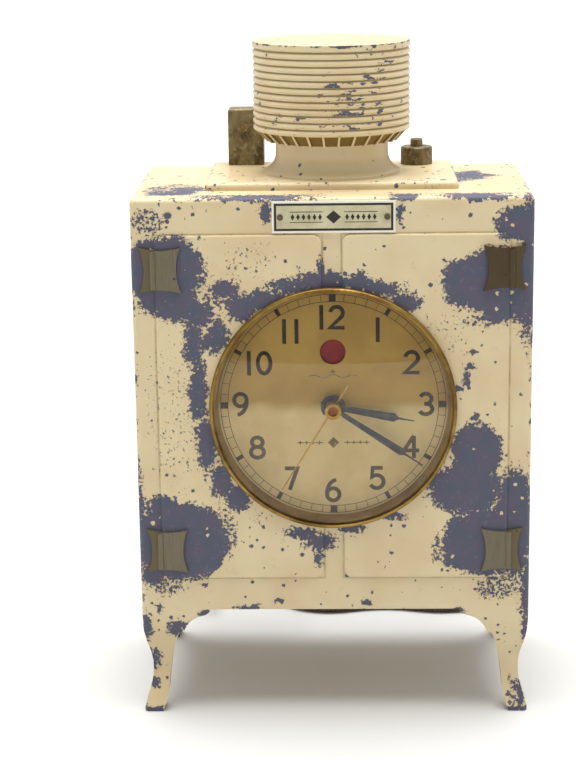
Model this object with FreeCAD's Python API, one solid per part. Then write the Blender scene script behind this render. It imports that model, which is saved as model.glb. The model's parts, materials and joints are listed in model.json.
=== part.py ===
import FreeCAD, Part

# Novelty electric mantel clock shaped like a refrigerator with a drum-shaped condenser on top.
# Millimetres, +Z up, the dial faces -Y.  The model is laid out with y = 0 on the flat front of
# the cabinet and x = z = 0 on the floor under its middle, and save() then moves every piece so
# that the origin is the bottom centre of the clock without its mains cord.

import math
import os

from FreeCAD import Vector

# ---- cabinet -----------------------------------------------------------------------------------
CASE_W = 129.0  # over the two side faces
CASE_D = 75.6  # front face to the rear rim
CASE_TOP = 174.8  # top face above the floor
WALL = 3.0  # casting wall
APRON_Z = 36.4  # lower edge of the cabinet between the legs
UNDERSIDE_Z = 40.0  # underside of the cabinet floor, above the apron edge
EDGE_R = 1.6  # rounding of the upright edges
TOP_R = 1.8  # rounding of the top edges
PANEL_RISE = 0.9  # the two door panels stand this far in front of the frame
PANEL_X = (3.2, 57.0)  # inner and outer edge of the right door panel
PANEL_Z = (47.6, 163.0)
PANEL_R = 3.0
PLINTH_X = 41.3
PLINTH_Y = (15.0, 66.5)
PLINTH_Z = (CASE_TOP, 177.3)
POST_R = 4.0  # screw posts in the four inner corners
POST_INSET = 5.0

# ---- condenser drum and the fittings beside it -------------------------------------------------
DRUM_Y = 41.0
DRUM_R = 26.2
DRUM_Z = (191.7, 220.95)
DRUM_DOME = 1.05
RIBS = 13
RIB_DEPTH = 0.8
FINS = 30
FIN_T = 0.7
NECK_R = 18.8
NECK_FOOT_R = 22.9
SKIRT_R = (21.0, 24.6)
BOX_X = (-35.6, -23.5)
BOX_Y = (57.0, 65.6)
BOX_TOP = 196.6
CAP_X, CAP_Y, CAP_R = 28.9, 57.6, 5.4
CAP_TOP = 183.3

# ---- hinges and nameplate ----------------------------------------------------------------------
HINGE_W, HINGE_H = 13.6, 14.8
HINGE_WAIST = 1.6  # how far the sides curve in
HINGE_DIP = 1.0  # how far the top and bottom curve in
HINGE_X = 55.1
HINGE_Z = (57.4, 151.8)
HINGE_SPLIT = 2.2  # the knuckle stands this far outside the middle of the plate
PLATE_X = (-19.0, 20.3)
PLATE_Z = (163.5, 173.7)
PLATE_T = 0.8

# ---- dial, bezel and glass ---------------------------------------------------------------------
DIAL_Z = 105.7
BEZEL_R = 40.2
SLEEVE_R = (38.6, 39.0)
HOLE_R = 39.05
LIP_R = 39.0  # the rolled lip that holds the glass
BEZEL_FRONT = -3.1
SIGHT_R = (37.5, 38.3)  # the sloping ring round the dial, at its back and at its front
GLASS_R = 39.5
GLASS_EDGE_Y = -2.45
GLASS_RISE = 5.55
GLASS_T = 1.1
DIAL_FRONT = 4.4
DIAL_T = 0.5
DIAL_HOLE_R = 2.7
WINDOW_UP = 17.7  # centre of the power-off window above the hands
WINDOW_R = 4.2
HOUR_DEG, MINUTE_DEG, SECOND_DEG = 100.3, 123.6, 212.0  # clockwise from twelve
HOUR_LEN, MINUTE_LEN, SECOND_LEN, SECOND_TAIL = 26.8, 34.8, 32.0, 10.2
HOUR_Y, MINUTE_Y, SECOND_Y = (1.0, 1.5), (-0.7, -0.25), (-1.6, -1.35)  # front and back faces
CUP_Y = (-5.4, -1.2)  # the cup in the middle of the seconds hand
CUP_R = (1.7, 2.65)
SECOND_TIP_Y = -4.0  # front end of the seconds arbor, inside the cup
SPIKE_W = 0.6

# ---- movement, y measured from the front face --------------------------------------------------
CLAMP_Y = (DIAL_FRONT + DIAL_T, 6.4)
FRONT_PLATE_Y = (13.0, 14.2)
REAR_PLATE_Y = (27.0, 28.2)
FRAME_R = 36.0
PRESSURE_DEG = 28.0
ADDENDUM, DEDENDUM = 0.8, 1.1  # in modules
BACKLASH = 0.07
MOTION_A = 12.0  # centre distance of the motion work
TRAIN_A = 17.0  # centre distance of the seconds and the third arbor
ROTOR_A = 13.8
MOTION_MODULE, HOUR_MODULE = 0.5, 0.48
SECOND_MODULE, THIRD_MODULE, CENTRE_MODULE = 0.6, 0.5, 2 * 17.0 / 72
THIRD_DIR = 150.0  # direction of the third arbor seen from the front, from +X towards +Z
SECOND_ARBOR_R, MINUTE_TUBE_R, HOUR_PIPE_R = 0.6, 1.4, 2.1
RUN = 0.04  # radial running clearance of an arbor in its hole

# ---- back cover, setting knob and mains cord ---------------------------------------------------
COVER_Y = (74.3, 75.4)
COVER_GAP = 0.25
KNOB_Y = (78.2, 86.6)
KNOB_R = 7.5
SET_X = 2 * MOTION_A
CORD_D = 5.0
CORD_X, CORD_Z = -34.0, 54.0
RELIEF_LEN = 21.0
CORD_LENGTH = 1800.0
COIL_X, COIL_Y = 6.0, 146.0
COIL_R = 28.5  # middle of the turns
BUNDLE = 3  # turns lie three wide and three high
PLUG_R = 12.0

# the cord's route, by hand: out of the strain relief, down, and along the floor in uneven waves
LEAD_ROUTE = [
    (CORD_X, COVER_Y[1] + RELIEF_LEN, CORD_Z),
    (-34.0, 111.0, 54.0),
    (-34.4, 124.0, 45.0),
    (-34.4, 127.5, 28.5),
    (-31.5, 123.0, 12.0),
    (-24.5, 112.0, 3.6),
    (-15.5, 98.8, 2.5),
    (-2.0, 92.3, 2.5),
    (12.0, 97.2, 2.5),
    (24.5, 97.6, 2.5),
    (37.5, 92.6, 2.5),
    (51.5, 94.5, 2.5),
    (61.5, 105.0, 2.5),
    (63.0, 119.5, 2.5),
    (56.0, 132.5, 2.5),
    (45.0, 142.5, 2.5),
    (35.0, 152.0, 2.5),
]
# off the back of the coil and round to the plug, which lies beside it, blades towards the clock
TAIL_ROUTE = [
    (-5.0, 174.6, 2.5),
    (-18.0, 175.2, 2.5),
    (-31.5, 172.6, 2.9),
    (-43.0, 166.0, 4.8),
    (-51.8, 156.0, 8.6),
    (-56.0, 143.8, 12.0),
    (-56.0, 131.5, 12.0),
]
PLUG_X, PLUG_Y = TAIL_ROUTE[-1][0], TAIL_ROUTE[-1][1]

SCREW_PROUD = 1.6
GLASS_APEX = GLASS_EDGE_Y - GLASS_RISE
MIDDLE_Y = (GLASS_APEX + COVER_Y[1] + RELIEF_LEN) / 2
PARTS = "parts"


# ---- helpers -----------------------------------------------------------------------------------
def save(name, shape):
    moved = shape.copy()
    moved.translate(Vector(0, -MIDDLE_Y, 0))
    for solid in moved.Solids:
        if not solid.isValid():
            print("not valid:", name)
    if not moved.Solids:
        print("no solid:", name)
    moved.exportStep(os.path.join(PARTS, name + ".step"))


def box(x, y, z):
    return Part.makeBox(x[1] - x[0], y[1] - y[0], z[1] - z[0], Vector(x[0], y[0], z[0]))


def rod(x, z, radius, y):
    """A round bar along Y."""
    return Part.makeCylinder(radius, y[1] - y[0], Vector(x, y[0], z), Vector(0, 1, 0))


def ring(x, z, outer, inner, y):
    return rod(x, z, outer, y).cut(rod(x, z, inner, (y[0] - 1, y[1] + 1)))


def upright(x, y, radius, z):
    return Part.makeCylinder(radius, z[1] - z[0], Vector(x, y, z[0]), Vector(0, 0, 1))


def fuse(shapes):
    whole = shapes[0]
    if len(shapes) > 1:
        whole = whole.multiFuse(shapes[1:])
    return whole.removeSplitter()


def cut(shape, tools):
    for tool in tools:
        shape = shape.cut(tool)
    return shape


def wire(steps):
    """A closed wire.  A step is a point, or a pair of points for an arc through the first to the second."""
    edges = []
    at = steps[0]
    for step in steps[1:] + steps[:1]:
        if isinstance(step, tuple):
            edges.append(Part.Arc(at, step[0], step[1]).toShape())
            at = step[1]
        elif (step - at).Length > 1e-6:
            edges.append(Part.LineSegment(at, step).toShape())
            at = step
    return Part.Wire(edges)


def prism(steps, along):
    return Part.Face(wire(steps)).extrude(along)


def turned(steps, centre, axis):
    """A body of revolution of a closed half profile."""
    return Part.Face(wire(steps)).revolve(centre, axis, 360)


def dome_arc(rise, radius):
    """Heights of a shallow dome above its rim, at half its radius and at its top."""
    sphere = (radius * radius + rise * rise) / (2 * rise)
    return math.sqrt(sphere**2 - radius**2 / 4) - sphere + rise, rise


def clockwise(shape, degrees, x=0.0, z=DIAL_Z):
    """Turns a piece about a Y axis, clockwise as seen from the front."""
    turned_shape = shape.copy()
    turned_shape.rotate(Vector(x, 0, z), Vector(0, 1, 0), degrees)
    return turned_shape


def polar(radius, degrees):
    """A place around the dial centre, the angle from +X towards +Z as seen from the front."""
    angle = math.radians(degrees)
    return radius * math.cos(angle), DIAL_Z + radius * math.sin(angle)


# ---- cabinet -----------------------------------------------------------------------------------
def leg_outline(half, plane):
    """The silhouette of the cabinet on two cabriole legs; plane turns (across, up) into a point."""

    def side(sign):
        return [
            plane(sign * half, CASE_TOP),
            plane(sign * half, APRON_Z),
            (plane(sign * (half - 0.5), 28.4), plane(sign * (half - 2.1), 22.0)),
            (plane(sign * (half - 3.1), 15.0), plane(sign * (half - 2.0), 7.6)),
            (plane(sign * (half - 0.9), 4.2), plane(sign * (half - 0.1), 1.4)),
            plane(sign * (half - 0.1), 0.0),
            plane(sign * (half - 6.2), 0.0),
            (plane(sign * (half - 7.7), 4.2), plane(sign * (half - 8.4), 8.8)),
            (plane(sign * (half - 9.5), 17.4), plane(sign * (half - 11.3), 25.6)),
            plane(sign * (half - 12.2), 27.6),
            plane(sign * (half - 13.9), 28.4),
            (plane(sign * (half - 16.2), 32.0), plane(sign * (half - 20.3), 34.1)),
            (plane(sign * (half - 22.2), 35.0), plane(sign * (half - 23.2), APRON_Z)),
        ]

    left = side(-1)
    steps = side(1)
    steps.append(left[-1][1])
    # the left side is walked from the apron back up to the top, so each arc swaps its ends
    for number in range(len(left) - 1, 0, -1):
        before = left[number - 1]
        end = before[1] if isinstance(before, tuple) else before
        if isinstance(left[number], tuple):
            steps.append((left[number][0], end))
        else:
            steps.append(end)
    return steps


def front_plane(across, up):
    return Vector(across, -20, up)


def side_plane(across, up):
    return Vector(-CASE_W, CASE_D / 2 + across, up)


def door_panel(sign):
    inner, outer = PANEL_X
    x = sorted((sign * inner, sign * outer))
    panel = box(x, (-PANEL_RISE, WALL / 2), PANEL_Z)
    upright_edges = [e for e in panel.Edges if abs(e.tangentAt(e.FirstParameter).y) > 0.9]
    panel = panel.makeFillet(PANEL_R, upright_edges)
    front_edges = [e for e in panel.Edges if e.BoundBox.YMax < -PANEL_RISE + 0.01]
    return panel.makeFillet(0.8, front_edges)


def corner_posts():
    places = []
    for sign in (-1, 1):
        for z in (UNDERSIDE_Z + WALL + POST_INSET, CASE_TOP - WALL - POST_INSET):
            places.append((sign * (CASE_W / 2 - WALL - POST_INSET), z))
    return places


def clamp_places():
    return [polar(44.0, angle) for angle in (90.0, 210.0, 330.0)]


def cabinet():
    plan = box((-CASE_W / 2, CASE_W / 2), (0, CASE_D), (-1, CASE_TOP))
    upright_edges = [e for e in plan.Edges if abs(e.tangentAt(e.FirstParameter).z) > 0.9]
    plan = plan.makeFillet(EDGE_R, upright_edges)
    top_edges = [e for e in plan.Edges if e.BoundBox.ZMin > CASE_TOP - 0.01]
    plan = plan.makeFillet(TOP_R, top_edges)
    from_front = prism(leg_outline(CASE_W / 2, front_plane), Vector(0, CASE_D + 40, 0))
    from_side = prism(leg_outline(CASE_D / 2, side_plane), Vector(2 * CASE_W, 0, 0))
    body = plan.common(from_front).common(from_side)
    plinth = box((-PLINTH_X, PLINTH_X), PLINTH_Y, (CASE_TOP - WALL, PLINTH_Z[1]))
    edges = [e for e in plinth.Edges if abs(e.tangentAt(e.FirstParameter).z) > 0.9]
    plinth = plinth.makeFillet(2.0, edges)
    edges = [e for e in plinth.Edges if e.BoundBox.ZMin > PLINTH_Z[1] - 0.01]
    plinth = plinth.makeFillet(1.5, edges)
    body = fuse([body, plinth, door_panel(-1), door_panel(1)])
    room = box(
        (-CASE_W / 2 + WALL, CASE_W / 2 - WALL),
        (WALL, CASE_D + 1),
        (UNDERSIDE_Z + WALL, CASE_TOP - WALL),
    )
    apron_t = WALL + 0.5
    under = box(
        (-CASE_W / 2 + apron_t, CASE_W / 2 - apron_t),
        (apron_t, CASE_D - apron_t),
        (28.0, UNDERSIDE_Z),
    )
    body = cut(body, [room, under, rod(0, DIAL_Z, HOLE_R, (-5, WALL + 2))])
    posts = [rod(x, z, POST_R, (WALL - 1, COVER_Y[0])) for x, z in corner_posts()]
    bosses = [rod(x, z, 2.8, (WALL - 1, CLAMP_Y[0])) for x, z in clamp_places()]
    body = fuse([body] + posts + bosses)
    holes = [rod(x, z, 1.5, (COVER_Y[0] - 12, CASE_D + 2)) for x, z in corner_posts()]
    holes += [rod(x, z, 1.0, (WALL, 8.0)) for x, z in clamp_places()]
    holes.append(upright(0, DRUM_Y, 2.5, (CASE_TOP - WALL - 1, PLINTH_Z[1] + 1)))
    box_x = sum(BOX_X) / 2
    box_y = sum(BOX_Y) / 2
    holes.append(upright(box_x, box_y, 1.5, (CASE_TOP - WALL - 1, PLINTH_Z[1] + 1)))
    holes.append(upright(CAP_X, CAP_Y, 1.25, (CASE_TOP - WALL - 1, PLINTH_Z[1] + 1)))
    for sign in (-1, 1):
        for z in HINGE_Z:
            holes.append(rod(sign * (HINGE_X - 1.5), z, 1.2, (-2, WALL + 1)))
    for x in plate_pin_places():
        holes.append(rod(x, sum(PLATE_Z) / 2, 0.7, (-1, WALL + 1)))
    return cut(body, holes)


# ---- condenser drum ----------------------------------------------------------------------------
def condenser_drum():
    """A ribbed drum on a waisted neck, hollow from below, with a threaded boss for its screw."""

    def at(radius, z):
        return Vector(radius, DRUM_Y, z)

    low = PLINTH_Z[1]
    pitch = (DRUM_Z[1] - DRUM_Z[0]) / RIBS
    skirt_low = DRUM_Z[0] - 3.5
    outside = [
        at(0, low),
        at(NECK_FOOT_R, low),
        at(NECK_FOOT_R, low + 0.8),
        (at(20.0, low + 3.0), at(NECK_R, low + 7.0)),
        at(NECK_R, skirt_low),
        at(SKIRT_R[0], skirt_low),
        at(SKIRT_R[1], DRUM_Z[0]),
    ]
    for rib in range(RIBS - 1):
        z = DRUM_Z[0] + rib * pitch
        outside.append(at(DRUM_R - RIB_DEPTH, z))
        outside.append((at(DRUM_R, z + pitch * 0.42), at(DRUM_R - RIB_DEPTH * 0.8, z + pitch * 0.86)))
    outside.append(at(DRUM_R - RIB_DEPTH, DRUM_Z[1] - pitch))
    outside.append(at(DRUM_R, DRUM_Z[1] - pitch + 0.5))
    outside.append(at(DRUM_R, DRUM_Z[1]))
    half_way, top = dome_arc(DRUM_DOME, DRUM_R)
    outside.append((at(DRUM_R / 2, DRUM_Z[1] + half_way), at(0, DRUM_Z[1] + top)))
    roof = DRUM_Z[1] - 2.5
    inner_neck = NECK_R - 3.0
    inner_drum = SKIRT_R[1] - 2.5
    inside = [
        at(0, low + 9.0),
        at(3.5, low + 9.0),
        at(3.5, low + 3.0),
        at(inner_neck, low + 3.0),
        at(inner_neck, DRUM_Z[0] - 1.0),
        at(inner_drum, DRUM_Z[0] + 2.0),
        at(inner_drum, roof),
        at(0, roof),
    ]
    axis = Vector(0, DRUM_Y, 0)
    drum = turned(outside, axis, Vector(0, 0, 1))
    fins = []
    for number in range(FINS):
        y = DRUM_Y - FIN_T / 2
        fin = prism(
            [
                Vector(NECK_R - 1.0, y, skirt_low - 0.2),
                Vector(SKIRT_R[0] + 0.9, y, skirt_low - 0.2),
                Vector(SKIRT_R[1] + 0.8, y, DRUM_Z[0] + 0.1),
                Vector(NECK_R - 1.0, y, DRUM_Z[0] + 0.1),
            ],
            Vector(0, FIN_T, 0),
        )
        fin.rotate(axis, Vector(0, 0, 1), 360.0 * number / FINS)
        fins.append(fin)
    drum = fuse([drum] + fins)
    drum = drum.cut(turned(inside, axis, Vector(0, 0, 1)))
    return drum.cut(upright(0, DRUM_Y, 1.7, (low - 1, low + 8.0)))


def drum_screw():
    top = PLINTH_Z[1] + 7.5
    head = upright(0, DRUM_Y, 3.6, (CASE_TOP - WALL - 3.6, CASE_TOP - WALL - 1.0))
    shank = upright(0, DRUM_Y, 1.65, (CASE_TOP - WALL - 1.0, top))
    slot = box((-5, 5), (DRUM_Y - 0.5, DRUM_Y + 0.5), (CASE_TOP - WALL - 4.0, CASE_TOP - WALL - 2.6))
    return fuse([head, shank]).cut(slot)


def drum_washer():
    z = (CASE_TOP - WALL - 1.0, CASE_TOP - WALL)
    return upright(0, DRUM_Y, 6.5, z).cut(upright(0, DRUM_Y, 1.8, (z[0] - 1, z[1] + 1)))


def control_box():
    low = PLINTH_Z[1]
    body = box(BOX_X, BOX_Y, (low, BOX_TOP))
    edges = [e for e in body.Edges if e.BoundBox.ZMin > low + 0.01]
    body = body.makeFillet(1.0, edges)
    x = sum(BOX_X) / 2
    boss = rod(x - 0.6, BOX_TOP - 6.4, 2.1, (BOX_Y[0] - 0.5, BOX_Y[0] + 1))
    stud = upright(x, sum(BOX_Y) / 2, 1.45, (CASE_TOP - WALL - 2.0, low + 1))
    return fuse([body, boss, stud])


def valve_cap():
    low = PLINTH_Z[1]
    cap = upright(CAP_X, CAP_Y, CAP_R, (low, CAP_TOP))
    top = [e for e in cap.Edges if e.BoundBox.ZMin > CAP_TOP - 0.01]
    cap = cap.makeFillet(0.7, top)
    return cap.cut(upright(CAP_X, CAP_Y, 1.25, (low - 1, CAP_TOP + 1)))


def valve_screw():
    head = upright(CAP_X, CAP_Y, 2.1, (CAP_TOP, CAP_TOP + 2.6))
    rim = [e for e in head.Edges if e.BoundBox.ZMin > CAP_TOP + 2.5]
    head = head.makeFillet(0.5, rim)
    shank = upright(CAP_X, CAP_Y, 1.2, (CASE_TOP - WALL - 3.0, CAP_TOP))
    slot = box((CAP_X - 3, CAP_X + 3), (CAP_Y - 0.4, CAP_Y + 0.4), (CAP_TOP + 1.7, CAP_TOP + 3))
    return fuse([head, shank]).cut(slot)


def valve_nut():
    z = (CASE_TOP - WALL - 2.0, CASE_TOP - WALL)
    corners = []
    for number in range(6):
        angle = math.radians(60 * number)
        corners.append(Vector(CAP_X + 3.0 * math.cos(angle), CAP_Y + 3.0 * math.sin(angle), z[0]))
    nut = prism(corners, Vector(0, 0, z[1] - z[0]))
    return nut.cut(upright(CAP_X, CAP_Y, 1.2, (z[0] - 1, z[1] + 1)))


# ---- hinges and nameplate ----------------------------------------------------------------------
def hinge(sign, z):
    half_w, half_h = HINGE_W / 2, HINGE_H / 2
    x = sign * HINGE_X

    def at(across, up, y):
        return Vector(x + across, y, z + up)

    def outline(y):
        return [
            at(-half_w, half_h, y),
            (at(0, half_h - HINGE_DIP, y), at(half_w, half_h, y)),
            (at(half_w - HINGE_WAIST, 0, y), at(half_w, -half_h, y)),
            (at(0, -half_h + HINGE_DIP, y), at(-half_w, -half_h, y)),
            (at(-half_w + HINGE_WAIST, 0, y), at(-half_w, half_h, y)),
        ]

    knuckle_x = x + sign * HINGE_SPLIT
    frame_leaf = prism(outline(-1.0), Vector(0, 1.0, 0))
    door_leaf = prism(outline(-PANEL_RISE - 1.1), Vector(0, 1.1, 0))
    far = sign * 40
    outer_side = sorted((knuckle_x, knuckle_x + far))
    inner_side = sorted((knuckle_x, knuckle_x - far))
    panel_edge = sign * (PANEL_X[1] + 0.1)
    beside_panel = sorted((panel_edge, panel_edge + far))
    tall = (z - 20, z + 20)
    frame_leaf = frame_leaf.common(box(outer_side, (-9, 9), tall)).common(box(beside_panel, (-9, 9), tall))
    door_leaf = door_leaf.common(box(inner_side, (-9, 9), tall))
    knuckle = upright(knuckle_x, -1.6, 1.0, (z - half_h + 1.2, z + half_h - 1.2))
    knuckle = knuckle.common(box((-99, 99), (-9, -PANEL_RISE), tall))
    stud = rod(sign * (HINGE_X - 1.5), z, 1.15, (-PANEL_RISE - 0.5, WALL + 0.6))
    return fuse([frame_leaf, door_leaf, knuckle, stud])


def plate_pin_places():
    return [PLATE_X[0] + 2.6, PLATE_X[1] - 2.6]


def nameplate():
    plate = box(PLATE_X, (-PLATE_T, 0), PLATE_Z)
    z = sum(PLATE_Z) / 2
    return cut(plate, [rod(x, z, 0.7, (-2, 1)) for x in plate_pin_places()])


def nameplate_pins():
    z = sum(PLATE_Z) / 2
    pins = []
    for x in plate_pin_places():
        head = rod(x, z, 1.0, (-PLATE_T - 0.5, -PLATE_T))
        pins.append(fuse([head, rod(x, z, 0.65, (-PLATE_T, WALL))]))
    return Part.makeCompound(pins)


# ---- bezel, glass and dial ---------------------------------------------------------------------
def bezel():
    def at(radius, y):
        return Vector(radius, y, DIAL_Z)

    steps = [
        at(SLEEVE_R[1], -PANEL_RISE),
        at(BEZEL_R, -PANEL_RISE),
        at(BEZEL_R, BEZEL_FRONT + 0.7),
        (at(BEZEL_R - 0.2, BEZEL_FRONT + 0.2), at(BEZEL_R - 0.7, BEZEL_FRONT)),
        at(LIP_R + 0.2, BEZEL_FRONT),
        (at(LIP_R + 0.06, BEZEL_FRONT + 0.06), at(LIP_R, BEZEL_FRONT + 0.2)),
        at(LIP_R, GLASS_EDGE_Y - 0.15),
        at(GLASS_R + 0.05, GLASS_EDGE_Y - 0.05),
        at(GLASS_R + 0.05, GLASS_EDGE_Y + GLASS_T + 0.05),
        at(SLEEVE_R[0], GLASS_EDGE_Y + GLASS_T + 0.05),
        at(SLEEVE_R[0], DIAL_FRONT),
        at(SLEEVE_R[1], DIAL_FRONT),
    ]
    return turned(steps, Vector(0, 0, DIAL_Z), Vector(0, 1, 0))


def glass():
    half_way, top = dome_arc(GLASS_RISE, GLASS_R)
    back = GLASS_EDGE_Y + GLASS_T
    steps = [
        Vector(0, back - top, DIAL_Z),
        (Vector(GLASS_R / 2, back - half_way, DIAL_Z), Vector(GLASS_R, back, DIAL_Z)),
        Vector(GLASS_R, GLASS_EDGE_Y, DIAL_Z),
        (Vector(GLASS_R / 2, GLASS_EDGE_Y - half_way, DIAL_Z), Vector(0, GLASS_EDGE_Y - top, DIAL_Z)),
    ]
    return turned(steps, Vector(0, 0, DIAL_Z), Vector(0, 1, 0))


def glass_ring():
    """The sight ring inside the sleeve, which slopes in from the glass to the dial."""
    front, back = GLASS_EDGE_Y + GLASS_T + 0.1, DIAL_FRONT - 0.05
    outer = SLEEVE_R[0] - 0.05
    section = [(outer, front), (SIGHT_R[1], front), (SIGHT_R[0], back), (outer, back)]
    return turned([Vector(radius, y, DIAL_Z) for radius, y in section], Vector(0, 0, DIAL_Z), Vector(0, 1, 0))


def dial():
    plate = ring(0, DIAL_Z, SLEEVE_R[1], DIAL_HOLE_R, (DIAL_FRONT, DIAL_FRONT + DIAL_T))
    return plate.cut(rod(0, DIAL_Z + WINDOW_UP, WINDOW_R, (0, 9)))


def dial_clamp():
    clamp = ring(0, DIAL_Z, 41.0, 36.6, CLAMP_Y)
    lugs = [rod(x, z, 3.4, CLAMP_Y) for x, z in clamp_places()]
    post_seats = [rod(x, z, 3.0, CLAMP_Y) for x, z in post_places()]
    clamp = fuse([clamp] + lugs + post_seats)
    return cut(clamp, [rod(x, z, 1.1, (0, 9)) for x, z in clamp_places()])


def clamp_screws():
    screws = []
    for x, z in clamp_places():
        head = rod(x, z, 2.0, (CLAMP_Y[1], CLAMP_Y[1] + 1.4))
        shank = rod(x, z, 0.95, (CLAMP_Y[0] - 1.7, CLAMP_Y[1]))
        slot = box((x - 3, x + 3), (CLAMP_Y[1] + 0.8, CLAMP_Y[1] + 2), (z - 0.3, z + 0.3))
        screws.append(fuse([head, shank]).cut(slot))
    return Part.makeCompound(screws)


# ---- movement frame ----------------------------------------------------------------------------
def post_places():
    return [polar(34.6, angle) for angle in (30.0, 150.0, 270.0)]


def pillar_places():
    return [polar(31.0, angle) for angle in (45.0, 105.0, 225.0, 315.0)]


def third_place():
    return polar(TRAIN_A, THIRD_DIR)


def rotor_place():
    return polar(ROTOR_A, 270.0)


def shutter_pivot():
    return 14.0, DIAL_Z + 24.0


def core_spacer_places():
    return [(x, DIAL_Z + z) for x in (-16.5, 16.5) for z in (-26.5, 20.5)]


def movement_posts():
    posts = []
    for x, z in post_places():
        body = rod(x, z, 1.9, (CLAMP_Y[1], FRONT_PLATE_Y[0]))
        posts.append(fuse([body, rod(x, z, 1.1, (FRONT_PLATE_Y[0], FRONT_PLATE_Y[1] + 1.6))]))
    return Part.makeCompound(posts)


def front_plate():
    plate = rod(0, DIAL_Z, FRAME_R, FRONT_PLATE_Y)
    span = (FRONT_PLATE_Y[0] - 1, FRONT_PLATE_Y[1] + 1)
    holes = [rod(x, z, 1.12, span) for x, z in post_places()]
    holes += [rod(x, z, 1.3, span) for x, z in pillar_places()]
    holes.append(rod(0, DIAL_Z, MINUTE_TUBE_R + RUN, span))
    holes.append(rod(SET_X, DIAL_Z, 1.5 + RUN, span))
    holes.append(rod(third_place()[0], third_place()[1], 0.5 + RUN, span))
    return cut(plate, holes)


def rear_plate():
    plate = rod(0, DIAL_Z, FRAME_R, REAR_PLATE_Y)
    span = (REAR_PLATE_Y[0] - 1, REAR_PLATE_Y[1] + 1)
    holes = [rod(x, z, 1.3, span) for x, z in pillar_places()]
    holes.append(rod(0, DIAL_Z, SECOND_ARBOR_R + RUN, span))
    holes.append(rod(SET_X, DIAL_Z, 1.5 + RUN, span))
    holes.append(rod(third_place()[0], third_place()[1], 0.5 + RUN, span))
    holes.append(rod(rotor_place()[0], rotor_place()[1], 3.6, span))
    holes += [rod(x, z, 1.2, span) for x, z in core_spacer_places()]
    return cut(plate, holes)


def plate_pillars():
    pillars = []
    for x, z in pillar_places():
        body = rod(x, z, 2.4, (FRONT_PLATE_Y[1], REAR_PLATE_Y[0]))
        ends = rod(x, z, 1.25, (FRONT_PLATE_Y[0] - 1.2, REAR_PLATE_Y[1] + 2.4))
        pillars.append(fuse([body, ends]))
    return Part.makeCompound(pillars)


def pillar_nuts():
    nuts = []
    for x, z in pillar_places():
        y = REAR_PLATE_Y[1]
        corners = []
        for number in range(6):
            angle = math.radians(60 * number)
            corners.append(Vector(x + 2.6 * math.cos(angle), y, z + 2.6 * math.sin(angle)))
        nuts.append(prism(corners, Vector(0, 2.0, 0)).cut(rod(x, z, 1.25, (y - 1, y + 3))))
    return Part.makeCompound(nuts)


# ---- gears -------------------------------------------------------------------------------------
def gear(x, z, teeth, module, y, bore, tooth_deg):
    """A spur gear with straight-sided teeth inside the involute; one tooth points at tooth_deg."""
    pitch_r = teeth * module / 2
    base_r = pitch_r * math.cos(math.radians(PRESSURE_DEG))
    tip_r = pitch_r + ADDENDUM * module
    root_r = pitch_r - DEDENDUM * module
    pressure = math.radians(PRESSURE_DEG)
    at_pitch = (math.pi * module / 2 - BACKLASH) / (2 * pitch_r)

    def half_tooth(radius):
        angle = math.acos(min(1.0, base_r / radius))
        return at_pitch + math.tan(pressure) - pressure - math.tan(angle) + angle

    tip_half = half_tooth(tip_r)
    root_half = half_tooth(max(base_r, root_r))
    points = []
    for tooth in range(teeth):
        middle = math.radians(tooth_deg) + 2 * math.pi * tooth / teeth
        corners = ((root_r, -root_half), (tip_r, -tip_half), (tip_r, tip_half), (root_r, root_half))
        for radius, offset in corners:
            angle = middle + offset
            points.append(Vector(x + radius * math.cos(angle), y[0], z + radius * math.sin(angle)))
    wheel = prism(points, Vector(0, y[1] - y[0], 0))
    if bore:
        wheel = wheel.cut(rod(x, z, bore, (y[0] - 1, y[1] + 1)))
    return wheel


def gap_facing(direction, teeth):
    """The tooth angle that leaves a gap pointing along direction."""
    return direction + 180.0 / teeth


def spoked(wheel, x, z, rim_r, hub_r, y, arms=4):
    """Cuts the crossings out of a wheel."""
    window = ring(x, z, rim_r, hub_r, (y[0] - 1, y[1] + 1))
    for number in range(arms):
        bar = box((x - 1.1, x + 1.1), (y[0] - 2, y[1] + 2), (z, z + rim_r + 2))
        bar.rotate(Vector(x, 0, z), Vector(0, 1, 0), 360.0 / arms * number + 20)
        window = window.cut(bar)
    return wheel.cut(window)


def seconds_arbor():
    wheel_y = (22.4, 23.6)
    pinion_y = (18.2, 20.8)
    wheel = gear(0, DIAL_Z, 36, SECOND_MODULE, wheel_y, 0, gap_facing(270.0, 36))
    wheel = spoked(wheel, 0, DIAL_Z, 8.4, 3.0, wheel_y)
    pinion = gear(0, DIAL_Z, 8, THIRD_MODULE, pinion_y, 0, THIRD_DIR)
    arbor = rod(0, DIAL_Z, SECOND_ARBOR_R, (SECOND_TIP_Y, REAR_PLATE_Y[1] + 1.0))
    collar = rod(0, DIAL_Z, 1.2, (pinion_y[1], REAR_PLATE_Y[0] - 0.4))
    return fuse([arbor, pinion, wheel, collar])


def third_arbor():
    x, z = third_place()
    wheel_y = (19.0, 20.0)
    pinion_y = (14.9, 17.6)
    facing = THIRD_DIR + 180.0
    wheel = gear(x, z, 60, THIRD_MODULE, wheel_y, 0, gap_facing(facing, 60))
    wheel = spoked(wheel, x, z, 12.6, 3.0, wheel_y)
    pinion = gear(x, z, 8, CENTRE_MODULE, pinion_y, 0, facing)
    arbor = rod(x, z, 0.5, (FRONT_PLATE_Y[0] - 0.3, REAR_PLATE_Y[1] + 0.3))
    collar = rod(x, z, 1.0, (pinion_y[1], REAR_PLATE_Y[0] - 0.4))
    return fuse([arbor, pinion, wheel, collar])


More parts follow.
